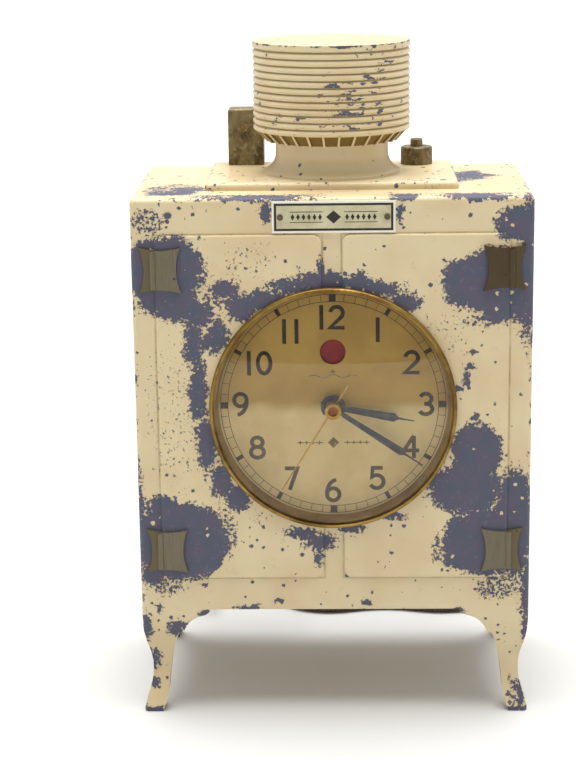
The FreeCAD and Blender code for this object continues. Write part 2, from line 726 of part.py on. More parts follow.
def slip_wheel():
    y = (15.7, 16.7)
    wheel = gear(0, DIAL_Z, 64, CENTRE_MODULE, y, MINUTE_TUBE_R + RUN, gap_facing(THIRD_DIR, 64))
    return spoked(wheel, 0, DIAL_Z, 12.8, 4.6, y)


def centre_arbor():
    tube = rod(0, DIAL_Z, MINUTE_TUBE_R, (MINUTE_Y[0] - 0.3, 17.9))
    cannon = gear(0, DIAL_Z, 12, MOTION_MODULE, (8.6, 10.8), 0, 0.0)
    shoulder = rod(0, DIAL_Z, 2.2, (14.7, 15.7 - 0.05))
    keeper = rod(0, DIAL_Z, 2.4, (17.3, 17.9))
    arbor = fuse([tube, cannon, shoulder, keeper])
    return arbor.cut(rod(0, DIAL_Z, SECOND_ARBOR_R + RUN, (-9, 22)))


def clutch_spring():
    """A dished washer that presses the slipping wheel against the shoulder of the centre arbor."""

    def at(radius, y):
        return Vector(radius, y, DIAL_Z)

    steps = [at(1.42, 17.1), at(1.42, 17.28), at(3.9, 16.93), at(3.9, 16.75)]
    return turned(steps, Vector(0, 0, DIAL_Z), Vector(0, 1, 0))


def minute_wheel():
    x = MOTION_A
    wheel = gear(x, DIAL_Z, 36, MOTION_MODULE, (9.0, 10.2), 0, gap_facing(180.0, 36))
    wheel = spoked(wheel, x, DIAL_Z, 7.2, 3.4, (9.0, 10.2))
    pinion = gear(x, DIAL_Z, 10, HOUR_MODULE, (6.5, 9.0), 0, 180.0)
    return fuse([wheel, pinion]).cut(rod(x, DIAL_Z, 0.9 + RUN, (5, 12)))


def motion_stud():
    post = rod(MOTION_A, DIAL_Z, 0.9, (6.2, FRONT_PLATE_Y[0]))
    shoulder = rod(MOTION_A, DIAL_Z, 1.8, (10.5, FRONT_PLATE_Y[0]))
    return fuse([post, shoulder])


def hour_wheel():
    wheel = gear(0, DIAL_Z, 40, HOUR_MODULE, (6.7, 7.9), 0, gap_facing(0.0, 40))
    pipe = rod(0, DIAL_Z, HOUR_PIPE_R, (0.9, 7.9))
    wheel = spoked(wheel, 0, DIAL_Z, 7.6, 3.4, (6.7, 7.9))
    return fuse([wheel, pipe]).cut(rod(0, DIAL_Z, MINUTE_TUBE_R + RUN, (-1, 9)))


def rotor_pinion():
    x, z = rotor_place()
    pinion = gear(x, z, 10, SECOND_MODULE, (21.9, 24.1), 0, 90.0)
    shaft = rod(x, z, 0.9, (24.1, 31.0))
    return fuse([pinion, shaft])


def set_arbor():
    pinion = gear(SET_X, DIAL_Z, 12, MOTION_MODULE, (9.0, 10.6), 0, 180.0)
    shaft = rod(SET_X, DIAL_Z, 1.5, (9.0, KNOB_Y[1] - 2.5))
    collar = rod(SET_X, DIAL_Z, 2.6, (REAR_PLATE_Y[1] + 0.3, REAR_PLATE_Y[1] + 1.9))
    return fuse([pinion, shaft, collar])


def set_knob():
    knob = rod(SET_X, DIAL_Z, KNOB_R, KNOB_Y)
    rims = [e for e in knob.Edges if e.BoundBox.YMin > KNOB_Y[1] - 0.01]
    knob = knob.makeFillet(0.9, rims)
    grooves = []
    for number in range(24):
        angle = math.radians(15.0 * number)
        x = SET_X + (KNOB_R + 0.25) * math.cos(angle)
        z = DIAL_Z + (KNOB_R + 0.25) * math.sin(angle)
        grooves.append(rod(x, z, 0.6, (KNOB_Y[0] + 1.6, KNOB_Y[1] + 1)))
    knob = knob.cut(Part.makeCompound(grooves))
    return knob.cut(rod(SET_X, DIAL_Z, 1.5, (KNOB_Y[0] - 1, KNOB_Y[1] - 2.5)))


# ---- hands -------------------------------------------------------------------------------------
def blade(length, root_w, wide_at, wide_w, y):
    """A hand that points at twelve: a bar that widens to wide_w, then a shoulder and a spike."""
    half_outline = [
        (root_w / 2, 0.0),
        (root_w / 2, 4.5),
        (wide_w / 2, wide_at),
        (SPIKE_W / 2, wide_at + 1.5),
        (SPIKE_W / 4, length),
    ]
    right = [Vector(across, y[0], DIAL_Z + up) for across, up in half_outline]
    left = [Vector(-across, y[0], DIAL_Z + up) for across, up in reversed(half_outline)]
    return prism(right + left, Vector(0, y[1] - y[0], 0))


def hour_hand():
    hub = rod(0, DIAL_Z, 4.0, (HOUR_Y[0] - 0.1, HOUR_Y[1] + 0.5))
    hand = fuse([blade(HOUR_LEN, 1.8, 20.2, 2.8, HOUR_Y), hub])
    return clockwise(hand.cut(rod(0, DIAL_Z, HOUR_PIPE_R, (0, 3))), HOUR_DEG)


def minute_hand():
    hub = rod(0, DIAL_Z, 2.6, (MINUTE_Y[0] - 0.2, MINUTE_Y[1] + 0.75))
    hand = fuse([blade(MINUTE_LEN, 1.5, 26.6, 2.5, MINUTE_Y), hub])
    return clockwise(hand.cut(rod(0, DIAL_Z, MINUTE_TUBE_R, (-4, 2))), MINUTE_DEG)


def seconds_hand():
    needle = prism(
        [
            Vector(-0.36, SECOND_Y[0], DIAL_Z - SECOND_TAIL),
            Vector(-0.17, SECOND_Y[0], DIAL_Z + SECOND_LEN),
            Vector(0.17, SECOND_Y[0], DIAL_Z + SECOND_LEN),
            Vector(0.36, SECOND_Y[0], DIAL_Z - SECOND_TAIL),
        ],
        Vector(0, SECOND_Y[1] - SECOND_Y[0], 0),
    )
    cup = rod(0, DIAL_Z, CUP_R[1], CUP_Y).cut(rod(0, DIAL_Z, CUP_R[0], (CUP_Y[0] - 1, CUP_Y[0] + 1)))
    hand = fuse([needle, cup]).cut(rod(0, DIAL_Z, SECOND_ARBOR_R, (SECOND_TIP_Y, 0)))
    return clockwise(hand, SECOND_DEG)


# ---- power-off indicator -----------------------------------------------------------------------
def indicator_lever():
    x, z = shutter_pivot()
    y = (6.0, 6.35)
    arm_angle = math.atan2(WINDOW_UP + DIAL_Z - z, -x)
    reach = math.hypot(WINDOW_UP + DIAL_Z - z, x)
    arm = box((x, x + reach), y, (z - 1.5, z + 1.5))
    arm.rotate(Vector(x, 0, z), Vector(0, -1, 0), math.degrees(arm_angle))
    hub = rod(x, z, 2.4, (5.5, 7.4))
    backing = rod(0, DIAL_Z + WINDOW_UP, 5.0, y)
    return fuse([arm, hub, backing]).cut(rod(x, z, 0.75 + RUN, (4, 9)))


def indicator_disc():
    return rod(0, DIAL_Z + WINDOW_UP, 4.9, (5.6, 6.0))


def indicator_stud():
    x, z = shutter_pivot()
    return fuse([rod(x, z, 0.75, (5.3, FRONT_PLATE_Y[0])), rod(x, z, 1.6, (7.8, FRONT_PLATE_Y[0]))])


# ---- motor -------------------------------------------------------------------------------------
CORE_Y = (36.0, 42.0)


def stator_core():
    core = box((-20, 20), CORE_Y, (DIAL_Z - 30, DIAL_Z + 25))
    window = box((-13, 13), (CORE_Y[0] - 1, CORE_Y[1] + 1), (DIAL_Z + 1, DIAL_Z + 14))
    x, z = rotor_place()
    gap = box((x - 1.5, x + 1.5), (CORE_Y[0] - 1, CORE_Y[1] + 1), (z, DIAL_Z + 5))
    core = cut(core, [window, gap, rod(x, z, 11.6, (CORE_Y[0] - 1, CORE_Y[1] + 1))])
    return cut(core, [rod(a, b, 1.2, (30, 50)) for a, b in core_spacer_places()])


def coil_bobbin():
    limb = (DIAL_Z + 14, DIAL_Z + 25)
    tube = box((-12, 12), (CORE_Y[0] - 1, CORE_Y[1] + 1), (limb[0] - 1, limb[1] + 1))
    cheeks = []
    for x in ((-12, -11), (11, 12)):
        cheeks.append(box(x, (CORE_Y[0] - 6, CORE_Y[1] + 6), (limb[0] - 6.5, limb[1] + 6.5)))
    whole = fuse([tube] + cheeks)
    return whole.cut(box((-20, 20), CORE_Y, limb))


def field_coil():
    limb = (DIAL_Z + 14, DIAL_Z + 25)
    winding = box((-11, 11), (CORE_Y[0] - 5.5, CORE_Y[1] + 5.5), (limb[0] - 6.0, limb[1] + 6.0))
    edges = [e for e in winding.Edges if abs(e.tangentAt(e.FirstParameter).x) > 0.9]
    winding = winding.makeFillet(3.0, edges)
    return winding.cut(box((-12, 12), (CORE_Y[0] - 1, CORE_Y[1] + 1), (limb[0] - 1, limb[1] + 1)))


def rotor_can():
    x, z = rotor_place()
    can = rod(x, z, 11.5, (31.5, 49.0))
    rims = [e for e in can.Edges if e.BoundBox.YMin > 48.9]
    can = can.makeFillet(1.5, rims)
    neck = rod(x, z, 3.5, (REAR_PLATE_Y[0] + 0.2, 31.5))
    return fuse([can, neck]).cut(rod(x, z, 0.9 + RUN, (20, 31.2)))


def core_spacers():
    spacers = []
    for x, z in core_spacer_places():
        spacers.append(ring(x, z, 2.4, 1.2, (REAR_PLATE_Y[1], CORE_Y[0])))
    return Part.makeCompound(spacers)


def core_screws():
    screws = []
    for x, z in core_spacer_places():
        head = rod(x, z, 2.3, (CORE_Y[1], CORE_Y[1] + 1.6))
        slot = box((x - 3, x + 3), (CORE_Y[1] + 0.9, CORE_Y[1] + 2), (z - 0.3, z + 0.3))
        shank = rod(x, z, 1.15, (REAR_PLATE_Y[0] - 0.8, CORE_Y[1]))
        screws.append(fuse([head, shank]).cut(slot))
    return Part.makeCompound(screws)


# ---- back cover --------------------------------------------------------------------------------
def back_cover():
    x = CASE_W / 2 - WALL - COVER_GAP
    z = (UNDERSIDE_Z + WALL + COVER_GAP, CASE_TOP - WALL - COVER_GAP)
    cover = box((-x, x), COVER_Y, z)
    span = (COVER_Y[0] - 1, COVER_Y[1] + 1)
    holes = [rod(a, b, 1.7, span) for a, b in corner_posts()]
    holes.append(rod(SET_X, DIAL_Z, 2.2, span))
    holes.append(rod(CORD_X, CORD_Z, 4.0, span))
    for row in range(5):
        slot_z = 134.0 + 5.0 * row
        holes.append(box((-26, 26), span, (slot_z, slot_z + 2.0)))
    for row in range(3):
        slot_z = 62.0 + 5.0 * row
        holes.append(box((-12, 36), span, (slot_z, slot_z + 2.0)))
    return cut(cover, holes)


def cover_screws():
    screws = []
    for x, z in corner_posts():
        head = rod(x, z, 3.0, (COVER_Y[1], COVER_Y[1] + SCREW_PROUD))
        rims = [e for e in head.Edges if e.BoundBox.YMin > COVER_Y[1] + SCREW_PROUD - 0.01]
        head = head.makeFillet(0.8, rims)
        shank = rod(x, z, 1.45, (COVER_Y[0] - 9, COVER_Y[1]))
        slot = box((x - 4, x + 4), (COVER_Y[1] + 1.0, COVER_Y[1] + 3), (z - 0.4, z + 0.4))
        screws.append(fuse([head, shank]).cut(slot))
    return Part.makeCompound(screws)


# ---- mains cord --------------------------------------------------------------------------------
def rounded_path(points, name):
    """Straight runs joined by tangent arcs, each as large as its two runs allow."""
    points = [Vector(*p) for p in points]
    edges = []
    at = points[0]
    radii = []
    for before, corner, after in zip(points, points[1:], points[2:]):
        inward = (corner - before).normalize()
        outward = (after - corner).normalize()
        turn = inward.getAngle(outward)
        reach = 0.45 * min((corner - before).Length, (after - corner).Length)
        radius = reach / math.tan(turn / 2)
        radii.append(radius)
        start = corner - inward * reach
        end = corner + outward * reach
        middle_way = (outward - inward).normalize()
        middle = corner + middle_way * (radius / math.cos(turn / 2) - radius)
        edges.append(Part.LineSegment(at, start).toShape())
        edges.append(Part.Arc(start, middle, end).toShape())
        at = end
    edges.append(Part.LineSegment(at, points[-1]).toShape())
    path = Part.Wire(edges)
    print(name, "length %.1f" % path.Length, "radii", [round(r, 1) for r in radii])
    return path


def tube_along(points, diameter, name):
    path = rounded_path(points, name)
    start = Vector(*points[0])
    heading = Vector(*points[1]) - start
    section = Part.Wire([Part.Circle(start, heading, diameter / 2).toShape()])
    tube = path.makePipeShell([section], True, True)
    ideal = math.pi * diameter**2 / 4 * path.Length
    print(name, "volume ratio %.4f" % (tube.Volume / ideal))
    return tube, path.Length


def strain_relief():
    """A tapered bush: a collar each side of the cover and a sleeve that the cord leaves."""

    def at(radius, y):
        return Vector(CORD_X + radius, y, CORD_Z)

    y0, y1 = COVER_Y
    end = y1 + RELIEF_LEN
    steps = [
        at(0, y0 - 3.0),
        at(5.4, y0 - 3.0),
        at(5.4, y0),
        at(4.0, y0),
        at(4.0, y1),
        at(5.8, y1),
        at(5.8, y1 + 2.2),
        at(4.6, y1 + 3.4),
        at(3.2, end),
        at(0, end),
    ]
    return turned(steps, Vector(CORD_X, 0, CORD_Z), Vector(0, 1, 0))


def coil_leads():
    """Two insulated wires from the winding down to the inner end of the strain relief."""
    wires = []
    for side in (-1, 1):
        points = [
            Vector(-12.0, 45.4 + 1.2 * side, DIAL_Z + 12.0),
            Vector(-30.0, 49.0 + 1.2 * side, DIAL_Z - 4.0),
            Vector(CORD_X, 60.0 + 1.2 * side, DIAL_Z - 30.0),
            Vector(CORD_X + 1.6 * side, COVER_Y[0] - 3.0, CORD_Z),
        ]
        pieces = []
        for a, b in zip(points, points[1:]):
            pieces.append(Part.makeCylinder(0.8, (b - a).Length, a, b - a))
        pieces += [Part.makeSphere(0.8, p) for p in points[1:-1]]
        strand = fuse(pieces)
        wires.append(strand.common(box((-60, -12.0), (0, COVER_Y[0] - 3.0), (0, 200))))
    return Part.makeCompound(wires)


def cord_coil():
    half = BUNDLE * CORD_D / 2

    def at(radius, z):
        return Vector(COIL_X + radius, COIL_Y, z)

    high = BUNDLE * CORD_D * 0.94
    steps = [
        at(COIL_R - half + 3.0, 0.0),
        at(COIL_R + half - 3.0, 0.0),
        (at(COIL_R + half - 0.9, 0.9), at(COIL_R + half, 3.0)),
        at(COIL_R + half, high - 4.0),
        (at(COIL_R + half - 1.2, high - 1.2), at(COIL_R + half - 4.0, high)),
        at(COIL_R - half + 4.0, high),
        (at(COIL_R - half + 1.2, high - 1.2), at(COIL_R - half, high - 4.0)),
        at(COIL_R - half, 3.0),
        (at(COIL_R - half + 0.9, 0.9), at(COIL_R - half + 3.0, 0.0)),
    ]
    return turned(steps, Vector(COIL_X, COIL_Y, 0), Vector(0, 0, 1))


def plug_body():
    """A round two-part plug that lies on its side, its blades away from the cord."""

    def at(radius, y):
        return Vector(PLUG_X + radius, PLUG_Y - y, PLUG_R)

    steps = [
        at(0, 0),
        at(3.4, 0),
        at(4.6, 6.0),
        (at(6.6, 9.4), at(9.6, 11.0)),
        (at(11.6, 12.4), at(PLUG_R, 15.0)),
        at(PLUG_R, 22.0),
        at(PLUG_R - 1.0, 23.0),
        at(0, 23.0),
    ]
    return turned(steps, Vector(PLUG_X, 0, PLUG_R), Vector(0, 1, 0))


def plug_blades():
    blades = []
    for side in (-1, 1):
        x = PLUG_X + side * 6.35
        blade_box = box((x - 0.75, x + 0.75), (PLUG_Y - 40.0, PLUG_Y - 23.0), (PLUG_R - 3.2, PLUG_R + 3.2))
        hole = Part.makeCylinder(1.6, 4, Vector(x - 2, PLUG_Y - 36.5, PLUG_R), Vector(1, 0, 0))
        blades.append(blade_box.cut(hole))
    return Part.makeCompound(blades)


def main():
    os.makedirs(PARTS, exist_ok=True)
    pieces = [
        cabinet,
        condenser_drum,
        drum_screw,
        drum_washer,
        control_box,
        valve_cap,
        valve_screw,
        valve_nut,
        nameplate,
        nameplate_pins,
        bezel,
        glass,
        glass_ring,
        dial,
        dial_clamp,
        clamp_screws,
        movement_posts,
        front_plate,
        rear_plate,
        plate_pillars,
        pillar_nuts,
        seconds_arbor,
        third_arbor,
        slip_wheel,
        centre_arbor,
        clutch_spring,
        minute_wheel,
        motion_stud,
        hour_wheel,
        rotor_pinion,
        set_arbor,
        set_knob,
        hour_hand,
        minute_hand,
        seconds_hand,
        indicator_lever,
        indicator_disc,
        indicator_stud,
        stator_core,
        coil_bobbin,
        field_coil,
        rotor_can,
        core_spacers,
        core_screws,
        back_cover,
        cover_screws,
        strain_relief,
        coil_leads,
        cord_coil,
        plug_body,
        plug_blades,
    ]
    for make in pieces:
        save(make.__name__, make())
    for height, z in zip(("lower", "upper"), HINGE_Z):
        for side, sign in (("left", -1), ("right", 1)):
            save("hinge_%s_%s" % (height, side), hinge(sign, z))
    lead, lead_length = tube_along(LEAD_ROUTE, CORD_D, "cord_lead")
    tail, tail_length = tube_along(TAIL_ROUTE, CORD_D, "cord_tail")
    save("cord_lead", lead)
    save("cord_tail", tail)
    coiled = CORD_LENGTH - lead_length - tail_length
    print("in the coil %.0f mm, %.2f turns" % (coiled, coiled / (2 * math.pi * COIL_R)))


main()
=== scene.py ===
"""Looks of a novelty electric mantel clock shaped like a refrigerator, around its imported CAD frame."""

import json
import math
import random

import bmesh
import bpy
from mathutils import Matrix, Vector


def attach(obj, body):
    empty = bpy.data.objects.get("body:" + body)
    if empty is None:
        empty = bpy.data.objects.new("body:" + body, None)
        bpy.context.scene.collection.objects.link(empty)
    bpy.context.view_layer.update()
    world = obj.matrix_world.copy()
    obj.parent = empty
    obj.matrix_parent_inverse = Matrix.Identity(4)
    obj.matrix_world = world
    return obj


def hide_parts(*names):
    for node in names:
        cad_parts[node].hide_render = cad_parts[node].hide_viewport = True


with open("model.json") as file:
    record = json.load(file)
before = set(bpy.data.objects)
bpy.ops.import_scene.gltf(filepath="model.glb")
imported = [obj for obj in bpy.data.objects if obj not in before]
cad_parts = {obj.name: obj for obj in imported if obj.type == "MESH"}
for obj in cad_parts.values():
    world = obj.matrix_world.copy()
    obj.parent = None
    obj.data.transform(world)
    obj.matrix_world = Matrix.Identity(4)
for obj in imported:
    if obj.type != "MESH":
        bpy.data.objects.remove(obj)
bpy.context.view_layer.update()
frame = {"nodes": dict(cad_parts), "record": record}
nodes = frame["nodes"]

MM = 0.001
MIDDLE_Y = 44.2  # the row frame's origin behind the cabinet front, in millimetres
DIAL_Z = 105.7
DIAL_Y = 4.4
CORD_D = 5.0
PLATE_X, PLATE_Z, PLATE_FRONT = (-19.0, 20.3), (163.5, 173.7), -0.8
DOOR_X, DOOR_Z = (3.2, 57.0), (47.6, 163.0)
CABINET_HALF_X, CABINET_DEPTH, CABINET_TOP = 64.5, 75.6, 174.8
PLINTH_HALF_X, PLINTH_Y, PLINTH_TOP = 41.3, (15.0, 66.5), 177.3
DRUM_Y, DRUM_R, DRUM_TOP = 41.0, 26.2, 220.9
SKIRT_Z, RIBS_Z, RIB_PITCH = 188.2, 191.7, 2.25


def at(x, y, z):
    """A point in millimetres, y from the cabinet front, as metres in the row frame."""
    return Vector((x * MM, (y - MIDDLE_Y) * MM, z * MM))


# ---- camera ------------------------------------------------------------------------------------
def make_camera():
    data = bpy.data.cameras.new("camera")
    data.sensor_width = 36.0
    data.lens = 96.13
    data.clip_start = 0.01
    camera = bpy.data.objects.new("camera", data)
    bpy.context.collection.objects.link(camera)
    pitch, heading, roll = math.radians(14.06), math.radians(1.697), math.radians(-0.784)
    forward = Vector(
        (
            -math.sin(heading) * math.cos(pitch),
            math.cos(heading) * math.cos(pitch),
            -math.sin(pitch),
        )
    )
    level = forward.cross(Vector((0, 0, 1))).normalized()
    upward = level.cross(forward)
    right = level * math.cos(roll) + upward * math.sin(roll)
    up = upward * math.cos(roll) - level * math.sin(roll)
    turn = Matrix((right, up, -forward)).transposed().to_4x4()
    place = at(4.55, -645.25, 275.5)
    camera.matrix_world = Matrix.Translation(place) @ turn
    bpy.context.scene.camera = camera


make_camera()

# ---- mains cord --------------------------------------------------------------------------------
COIL_X, COIL_Y = 6.0, 146.0
LEAD = [
    (-34.0, 96.4, 54.0),
    (-34.0, 111.0, 54.0),
    (-34.4, 124.0, 45.0),
    (-34.4, 127.5, 28.5),
    (-31.5, 123.0, 12.0),
    (-24.5, 112.0, 3.6),
    (-15.5, 98.8, 2.6),
    (-2.0, 94.7, 2.6),
    (12.0, 99.5, 2.6),
    (24.5, 99.7, 2.6),
    (37.5, 95.0, 2.6),
    (51.5, 96.9, 2.6),
    (61.5, 105.0, 2.6),
    (63.0, 119.5, 2.6),
    (56.0, 132.5, 2.6),
    (46.0, 142.5, 2.6),
]
TAIL = [
    (-18.0, 180.0, 2.8),
    (-31.5, 175.0, 3.0),
    (-43.5, 167.0, 4.8),
    (-52.2, 156.3, 8.6),
    (-56.0, 143.8, 12.0),
    (-56.0, 131.5, 12.0),
]
TURN_RADII = (33.3, 28.3, 23.4, 21.2, 26.1, 31.0, 28.6, 33.6)
TURN_HEIGHTS = (2.6, 2.6, 2.6, 7.2, 7.2, 7.2, 11.7, 11.7)


def coil_points():
    """The put-away turns: three side by side on the floor, three in their hollows, two on top."""
    steps = 16
    wander = random.Random(4)
    points = []
    for number in range(steps * len(TURN_RADII)):
        turn, part = divmod(number / steps, 1.0)
        turn = int(turn)
        after = min(turn + 1, len(TURN_RADII) - 1)
        blend = max(0.0, (part - 0.62) / 0.38)
        blend = blend * blend * (3 - 2 * blend)
        radius = TURN_RADII[turn] + (TURN_RADII[after] - TURN_RADII[turn]) * blend
        height = TURN_HEIGHTS[turn] + (TURN_HEIGHTS[after] - TURN_HEIGHTS[turn]) * blend
        radius = radius / 0.985 + wander.uniform(-0.2, 0.2)
        angle = math.radians(14.0) + 2 * math.pi * number / steps
        points.append((COIL_X + radius * math.cos(angle), COIL_Y + radius * math.sin(angle), height))
    # the last turn slides down the outside of the coil towards the plug
    for degrees, radius, height in ((14, 34.6, 11.2), (36, 35.8, 9.8), (57, 37.2, 7.0), (78, 38.6, 4.2)):
        angle = math.radians(degrees)
        points.append((COIL_X + radius * math.cos(angle), COIL_Y + radius * math.sin(angle), height))
    points.append((-4.0, 183.0, 3.0))
    return points


def make_cord():
    points = LEAD + coil_points() + TAIL
    data = bpy.data.curves.new("mains_cord", "CURVE")
    data.dimensions = "3D"
    data.bevel_depth = 1.0  # times each point's radius
    data.bevel_resolution = 5
    data.resolution_u = 6
    spline = data.splines.new("NURBS")
    spline.points.add(len(points) - 1)
    for point, place in zip(spline.points, points):
        point.co = (*at(*place), 1.0)
        point.radius = CORD_D / 2 * MM
    spline.order_u = 3
    spline.use_endpoint_u = True
    cord = bpy.data.objects.new("mains_cord", data)
    bpy.context.collection.objects.link(cord)
    return cord


cord = make_cord()
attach(cord, "clock_frame")
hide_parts("cord_lead", "cord_tail", "cord_coil")


# ---- shader helpers ----------------------------------------------------------------------------
class Paint:
    """A material whose nodes are made by short calls; a socket given as a value is linked."""

    def __init__(self, name):
        self.material = bpy.data.materials.new(name)
        self.material.use_nodes = True
        self.tree = self.material.node_tree
        self.tree.nodes.clear()
        self.shader = self.add("BsdfPrincipled")
        output = self.add("OutputMaterial")
        self.tree.links.new(self.shader.outputs[0], output.inputs["Surface"])
        place = self.add("TexCoord").outputs["Object"]
        self.mm = self.vector("MULTIPLY_ADD", place, (1000, 1000, 1000), (0, MIDDLE_Y, 0))

    def set(self, node, key, value):
        socket = node.inputs[key]
        if isinstance(value, bpy.types.NodeSocket):
            self.tree.links.new(value, socket)
        else:
            socket.default_value = value

    def add(self, kind, inputs=None, **settings):
        node = self.tree.nodes.new("ShaderNode" + kind)
        for key, value in settings.items():
            setattr(node, key, value)
        for key, value in (inputs or {}).items():
            self.set(node, key, value)
        return node

    def vector(self, operation, *values):
        node = self.add("VectorMath", operation=operation)
        for number, value in enumerate(values):
            self.set(node, 3 if operation == "SCALE" and number == 1 else number, value)
        return node.outputs["Value" if operation == "LENGTH" else "Vector"]

    def math(self, operation, *values, clamp=False):
        node = self.add("Math", operation=operation, use_clamp=clamp)
        for number, value in enumerate(values):
            self.set(node, number, value)
        return node.outputs[0]

    def split(self, vector):
        return self.add("SeparateXYZ", {0: vector}).outputs

    def join(self, x, y, z):
        return self.add("CombineXYZ", {0: x, 1: y, 2: z}).outputs[0]

    def noise(self, size, vector=None, detail=3.0, roughness=0.55, colour=False):
        """Noise whose blobs are about size millimetres wide."""
        inputs = {
            "Vector": vector or self.mm,
            "Scale": 1.0 / size,
            "Detail": detail,
            "Roughness": roughness,
        }
        node = self.add("TexNoise", inputs)
        return node.outputs["Color" if colour else "Fac"]

    def ramp(self, value, low, high, to_low=0.0, to_high=1.0):
        inputs = {0: value, 1: low, 2: high, 3: to_low, 4: to_high}
        return self.add("MapRange", inputs, interpolation_type="SMOOTHSTEP").outputs[0]

    def mix(self, factor, a, b):
        node = self.add("Mix", data_type="RGBA")
        for key, value in ((0, factor), (6, a), (7, b)):
            if isinstance(value, tuple):
                value = (*value, 1.0)
            self.set(node, key, value)
        return node.outputs[2]

    def warped(self, size, amount, vector=None):
        """The place in millimetres, moved about by noise."""
        shift = self.vector("SUBTRACT", self.noise(size, vector, colour=True), (0.5, 0.5, 0.5))
        return self.vector("ADD", vector or self.mm, self.vector("SCALE", shift, amount))

    def bump(self, height, depth, below=None):
        """Bump of a height from 0 to 1 that stands for depth millimetres."""
        inputs = {"Height": height, "Distance": depth * MM, "Strength": 1.0}
        if below:
            inputs["Normal"] = below
        return self.add("Bump", inputs).outputs[0]

    def finish(self, colour, roughness, metallic=0.0, normal=None, **others):
        if isinstance(colour, tuple):
            colour = (*colour, 1.0)
        self.set(self.shader, "Base Color", colour)
        self.set(self.shader, "Roughness", roughness)
        self.set(self.shader, "Metallic", metallic)
        if normal:
            self.set(self.shader, "Normal", normal)
        for key, value in others.items():
            self.set(self.shader, key.replace("_", " "), value)
        return self.material


# ---- chipped enamel ----------------------------------------------------------------------------
CREAM = (0.69, 0.57, 0.345)
CREAM_WARM = (0.64, 0.50, 0.285)
SLATE = (0.095, 0.081, 0.122)
SLATE_BLUE = (0.072, 0.086, 0.122)

# chips on the front: x and z of the middle and the two half widths, in millimetres
PATCHES = [
    # upper left hinge, and the stripe that runs down beside the dial
    (-54, 152, 13.5, 11),
    (-52, 141, 10, 6),
    (-42.5, 137, 4.8, 4.6),
    (-45, 128, 3, 10),
    (-43.7, 112, 3.4, 11),
    (-41.3, 94, 3.6, 10),
    (-39.5, 127.5, 4.5, 3),
    (-34.5, 145, 5, 3.2),
    (-29.5, 139.5, 5, 4.4),
    (-37, 131, 3.4, 5),
    # round the top of the bezel
    (-22, 141.5, 8, 3.6),
    (-12, 146, 9, 3),
    (-2, 147.6, 10, 3.4),
    (-3.2, 151, 1.1, 5.5),
    (8, 147.5, 4.5, 3.6),
    (15.5, 145, 7, 2.8),
    (23.5, 140.5, 5, 3.8),
    # upper right hinge and corner
    (52, 147.5, 14, 11),
    (41.5, 147, 6.5, 8),
    (60, 166, 8.5, 6),
    (63, 152, 3.2, 24),
    (53, 139, 6, 5.5),
    (60.5, 140, 3, 6.5),
    # lower right
    (46.5, 91, 8.6, 9.5),
    (43, 78, 12.5, 8.5),
    (50, 60, 14, 11.5),
    (41.5, 55, 5.5, 5),
    (41, 64, 5, 5),
    (59, 66, 7, 19),
    (58, 52, 7, 3.4),
    (64, 43, 2.4, 15),
    # lower left
    (-50.5, 60.5, 16, 14),
    (-56, 73, 6.5, 3),
    (-60.5, 48, 4, 3.5),
    (-64.3, 65, 2, 18),
    (-36.5, 81.5, 3.4, 6),
    (-31, 75.5, 4.4, 4.4),
    # under the dial
    (-4.5, 60, 5.5, 3.4),
    (-10, 63.2, 6, 2),
    (-4.5, 54.5, 1.7, 2.8),
    (5.5, 64.5, 3.4, 1.7),
    (20, 68.5, 3.2, 1.7),
    # beside the nameplate and along the top edge
    (-21, 170.5, 1.8, 3.6),
    (-25, 174.6, 17, 1.1),
    (21.8, 169, 1.3, 3),
    (24, 174.6, 5, 1.2),
    (46, 174.8, 11, 1.2),
    # the knock to the right of the dial
    (40.6, 113, 1.8, 1.3),
    (42.8, 116.4, 1.3, 2.9),
    (44.8, 119.4, 1.4, 1.1),
    (45, 124, 1.3, 1.3),
    (46, 102.6, 1.4, 1.2),
    # apron and legs
    (-58.6, 37.3, 1.3, 1.8),
    (-43.5, 45.5, 1.2, 1),
    (-18.5, 39.3, 1.3, 1.1),
    (-29, 36.8, 4.5, 1.3),
    (-52.6, 29.8, 3.6, 2.6),
    (-43, 34.8, 2.6, 1.3),
    (-63, 30.5, 1.7, 4.4),
    (-60.8, 17.5, 2.4, 3.6),
    (-60.8, 9.5, 1.9, 1.8),
    (11, 38.5, 1.6, 1),
    (41.5, 35.6, 1.8, 0.9),
    (63.6, 29, 1.6, 6.5),
    (62.6, 6.5, 1.1, 5.5),
]

# places where the paint is only freckled through
FRECKLED = [
    (-36, 61, 6, 13),
    (-23, 69, 8, 5),
    (-33, 78, 7, 6),
    (-14, 62, 9, 3),
    (42, 84, 9, 9),
    (36, 130, 9, 11),
    (-47, 100, 8, 22),
    (-54, 106, 9, 26),
    (-26, 155, 11, 7),
    (-33, 150, 9, 5),
    (-46, 139, 8, 6),
]

# places where about half of the paint has gone in flakes
FLAKED = [
    (54, 44, 9, 5),
    (34.5, 58, 3.4, 6),
    (60, 6, 3.4, 6),
    (-56, 45.5, 8, 4.5),
    (-59, 167.5, 6.5, 4.5),
    (-36, 63, 4, 10),
    (-37.5, 143, 6, 5),
    (50, 135, 10, 3),
]


def patch_field(paint, place, patches):
    """Millimetres inside the nearest oval patch, negative outside all of them."""
    deepest = None
    for x, z, half_x, half_z in patches:
        scale = (1 / half_x, 0, 1 / half_z)
        shift = (-x / half_x, 0, -z / half_z)
        away = paint.vector("LENGTH", paint.vector("MULTIPLY_ADD", place, scale, shift))
        narrow = max(min(half_x, half_z), 2.6)
        depth = paint.math("MULTIPLY_ADD", away, -narrow, narrow)
        deepest = depth if deepest is None else paint.math("MAXIMUM", deepest, depth)
    return deepest


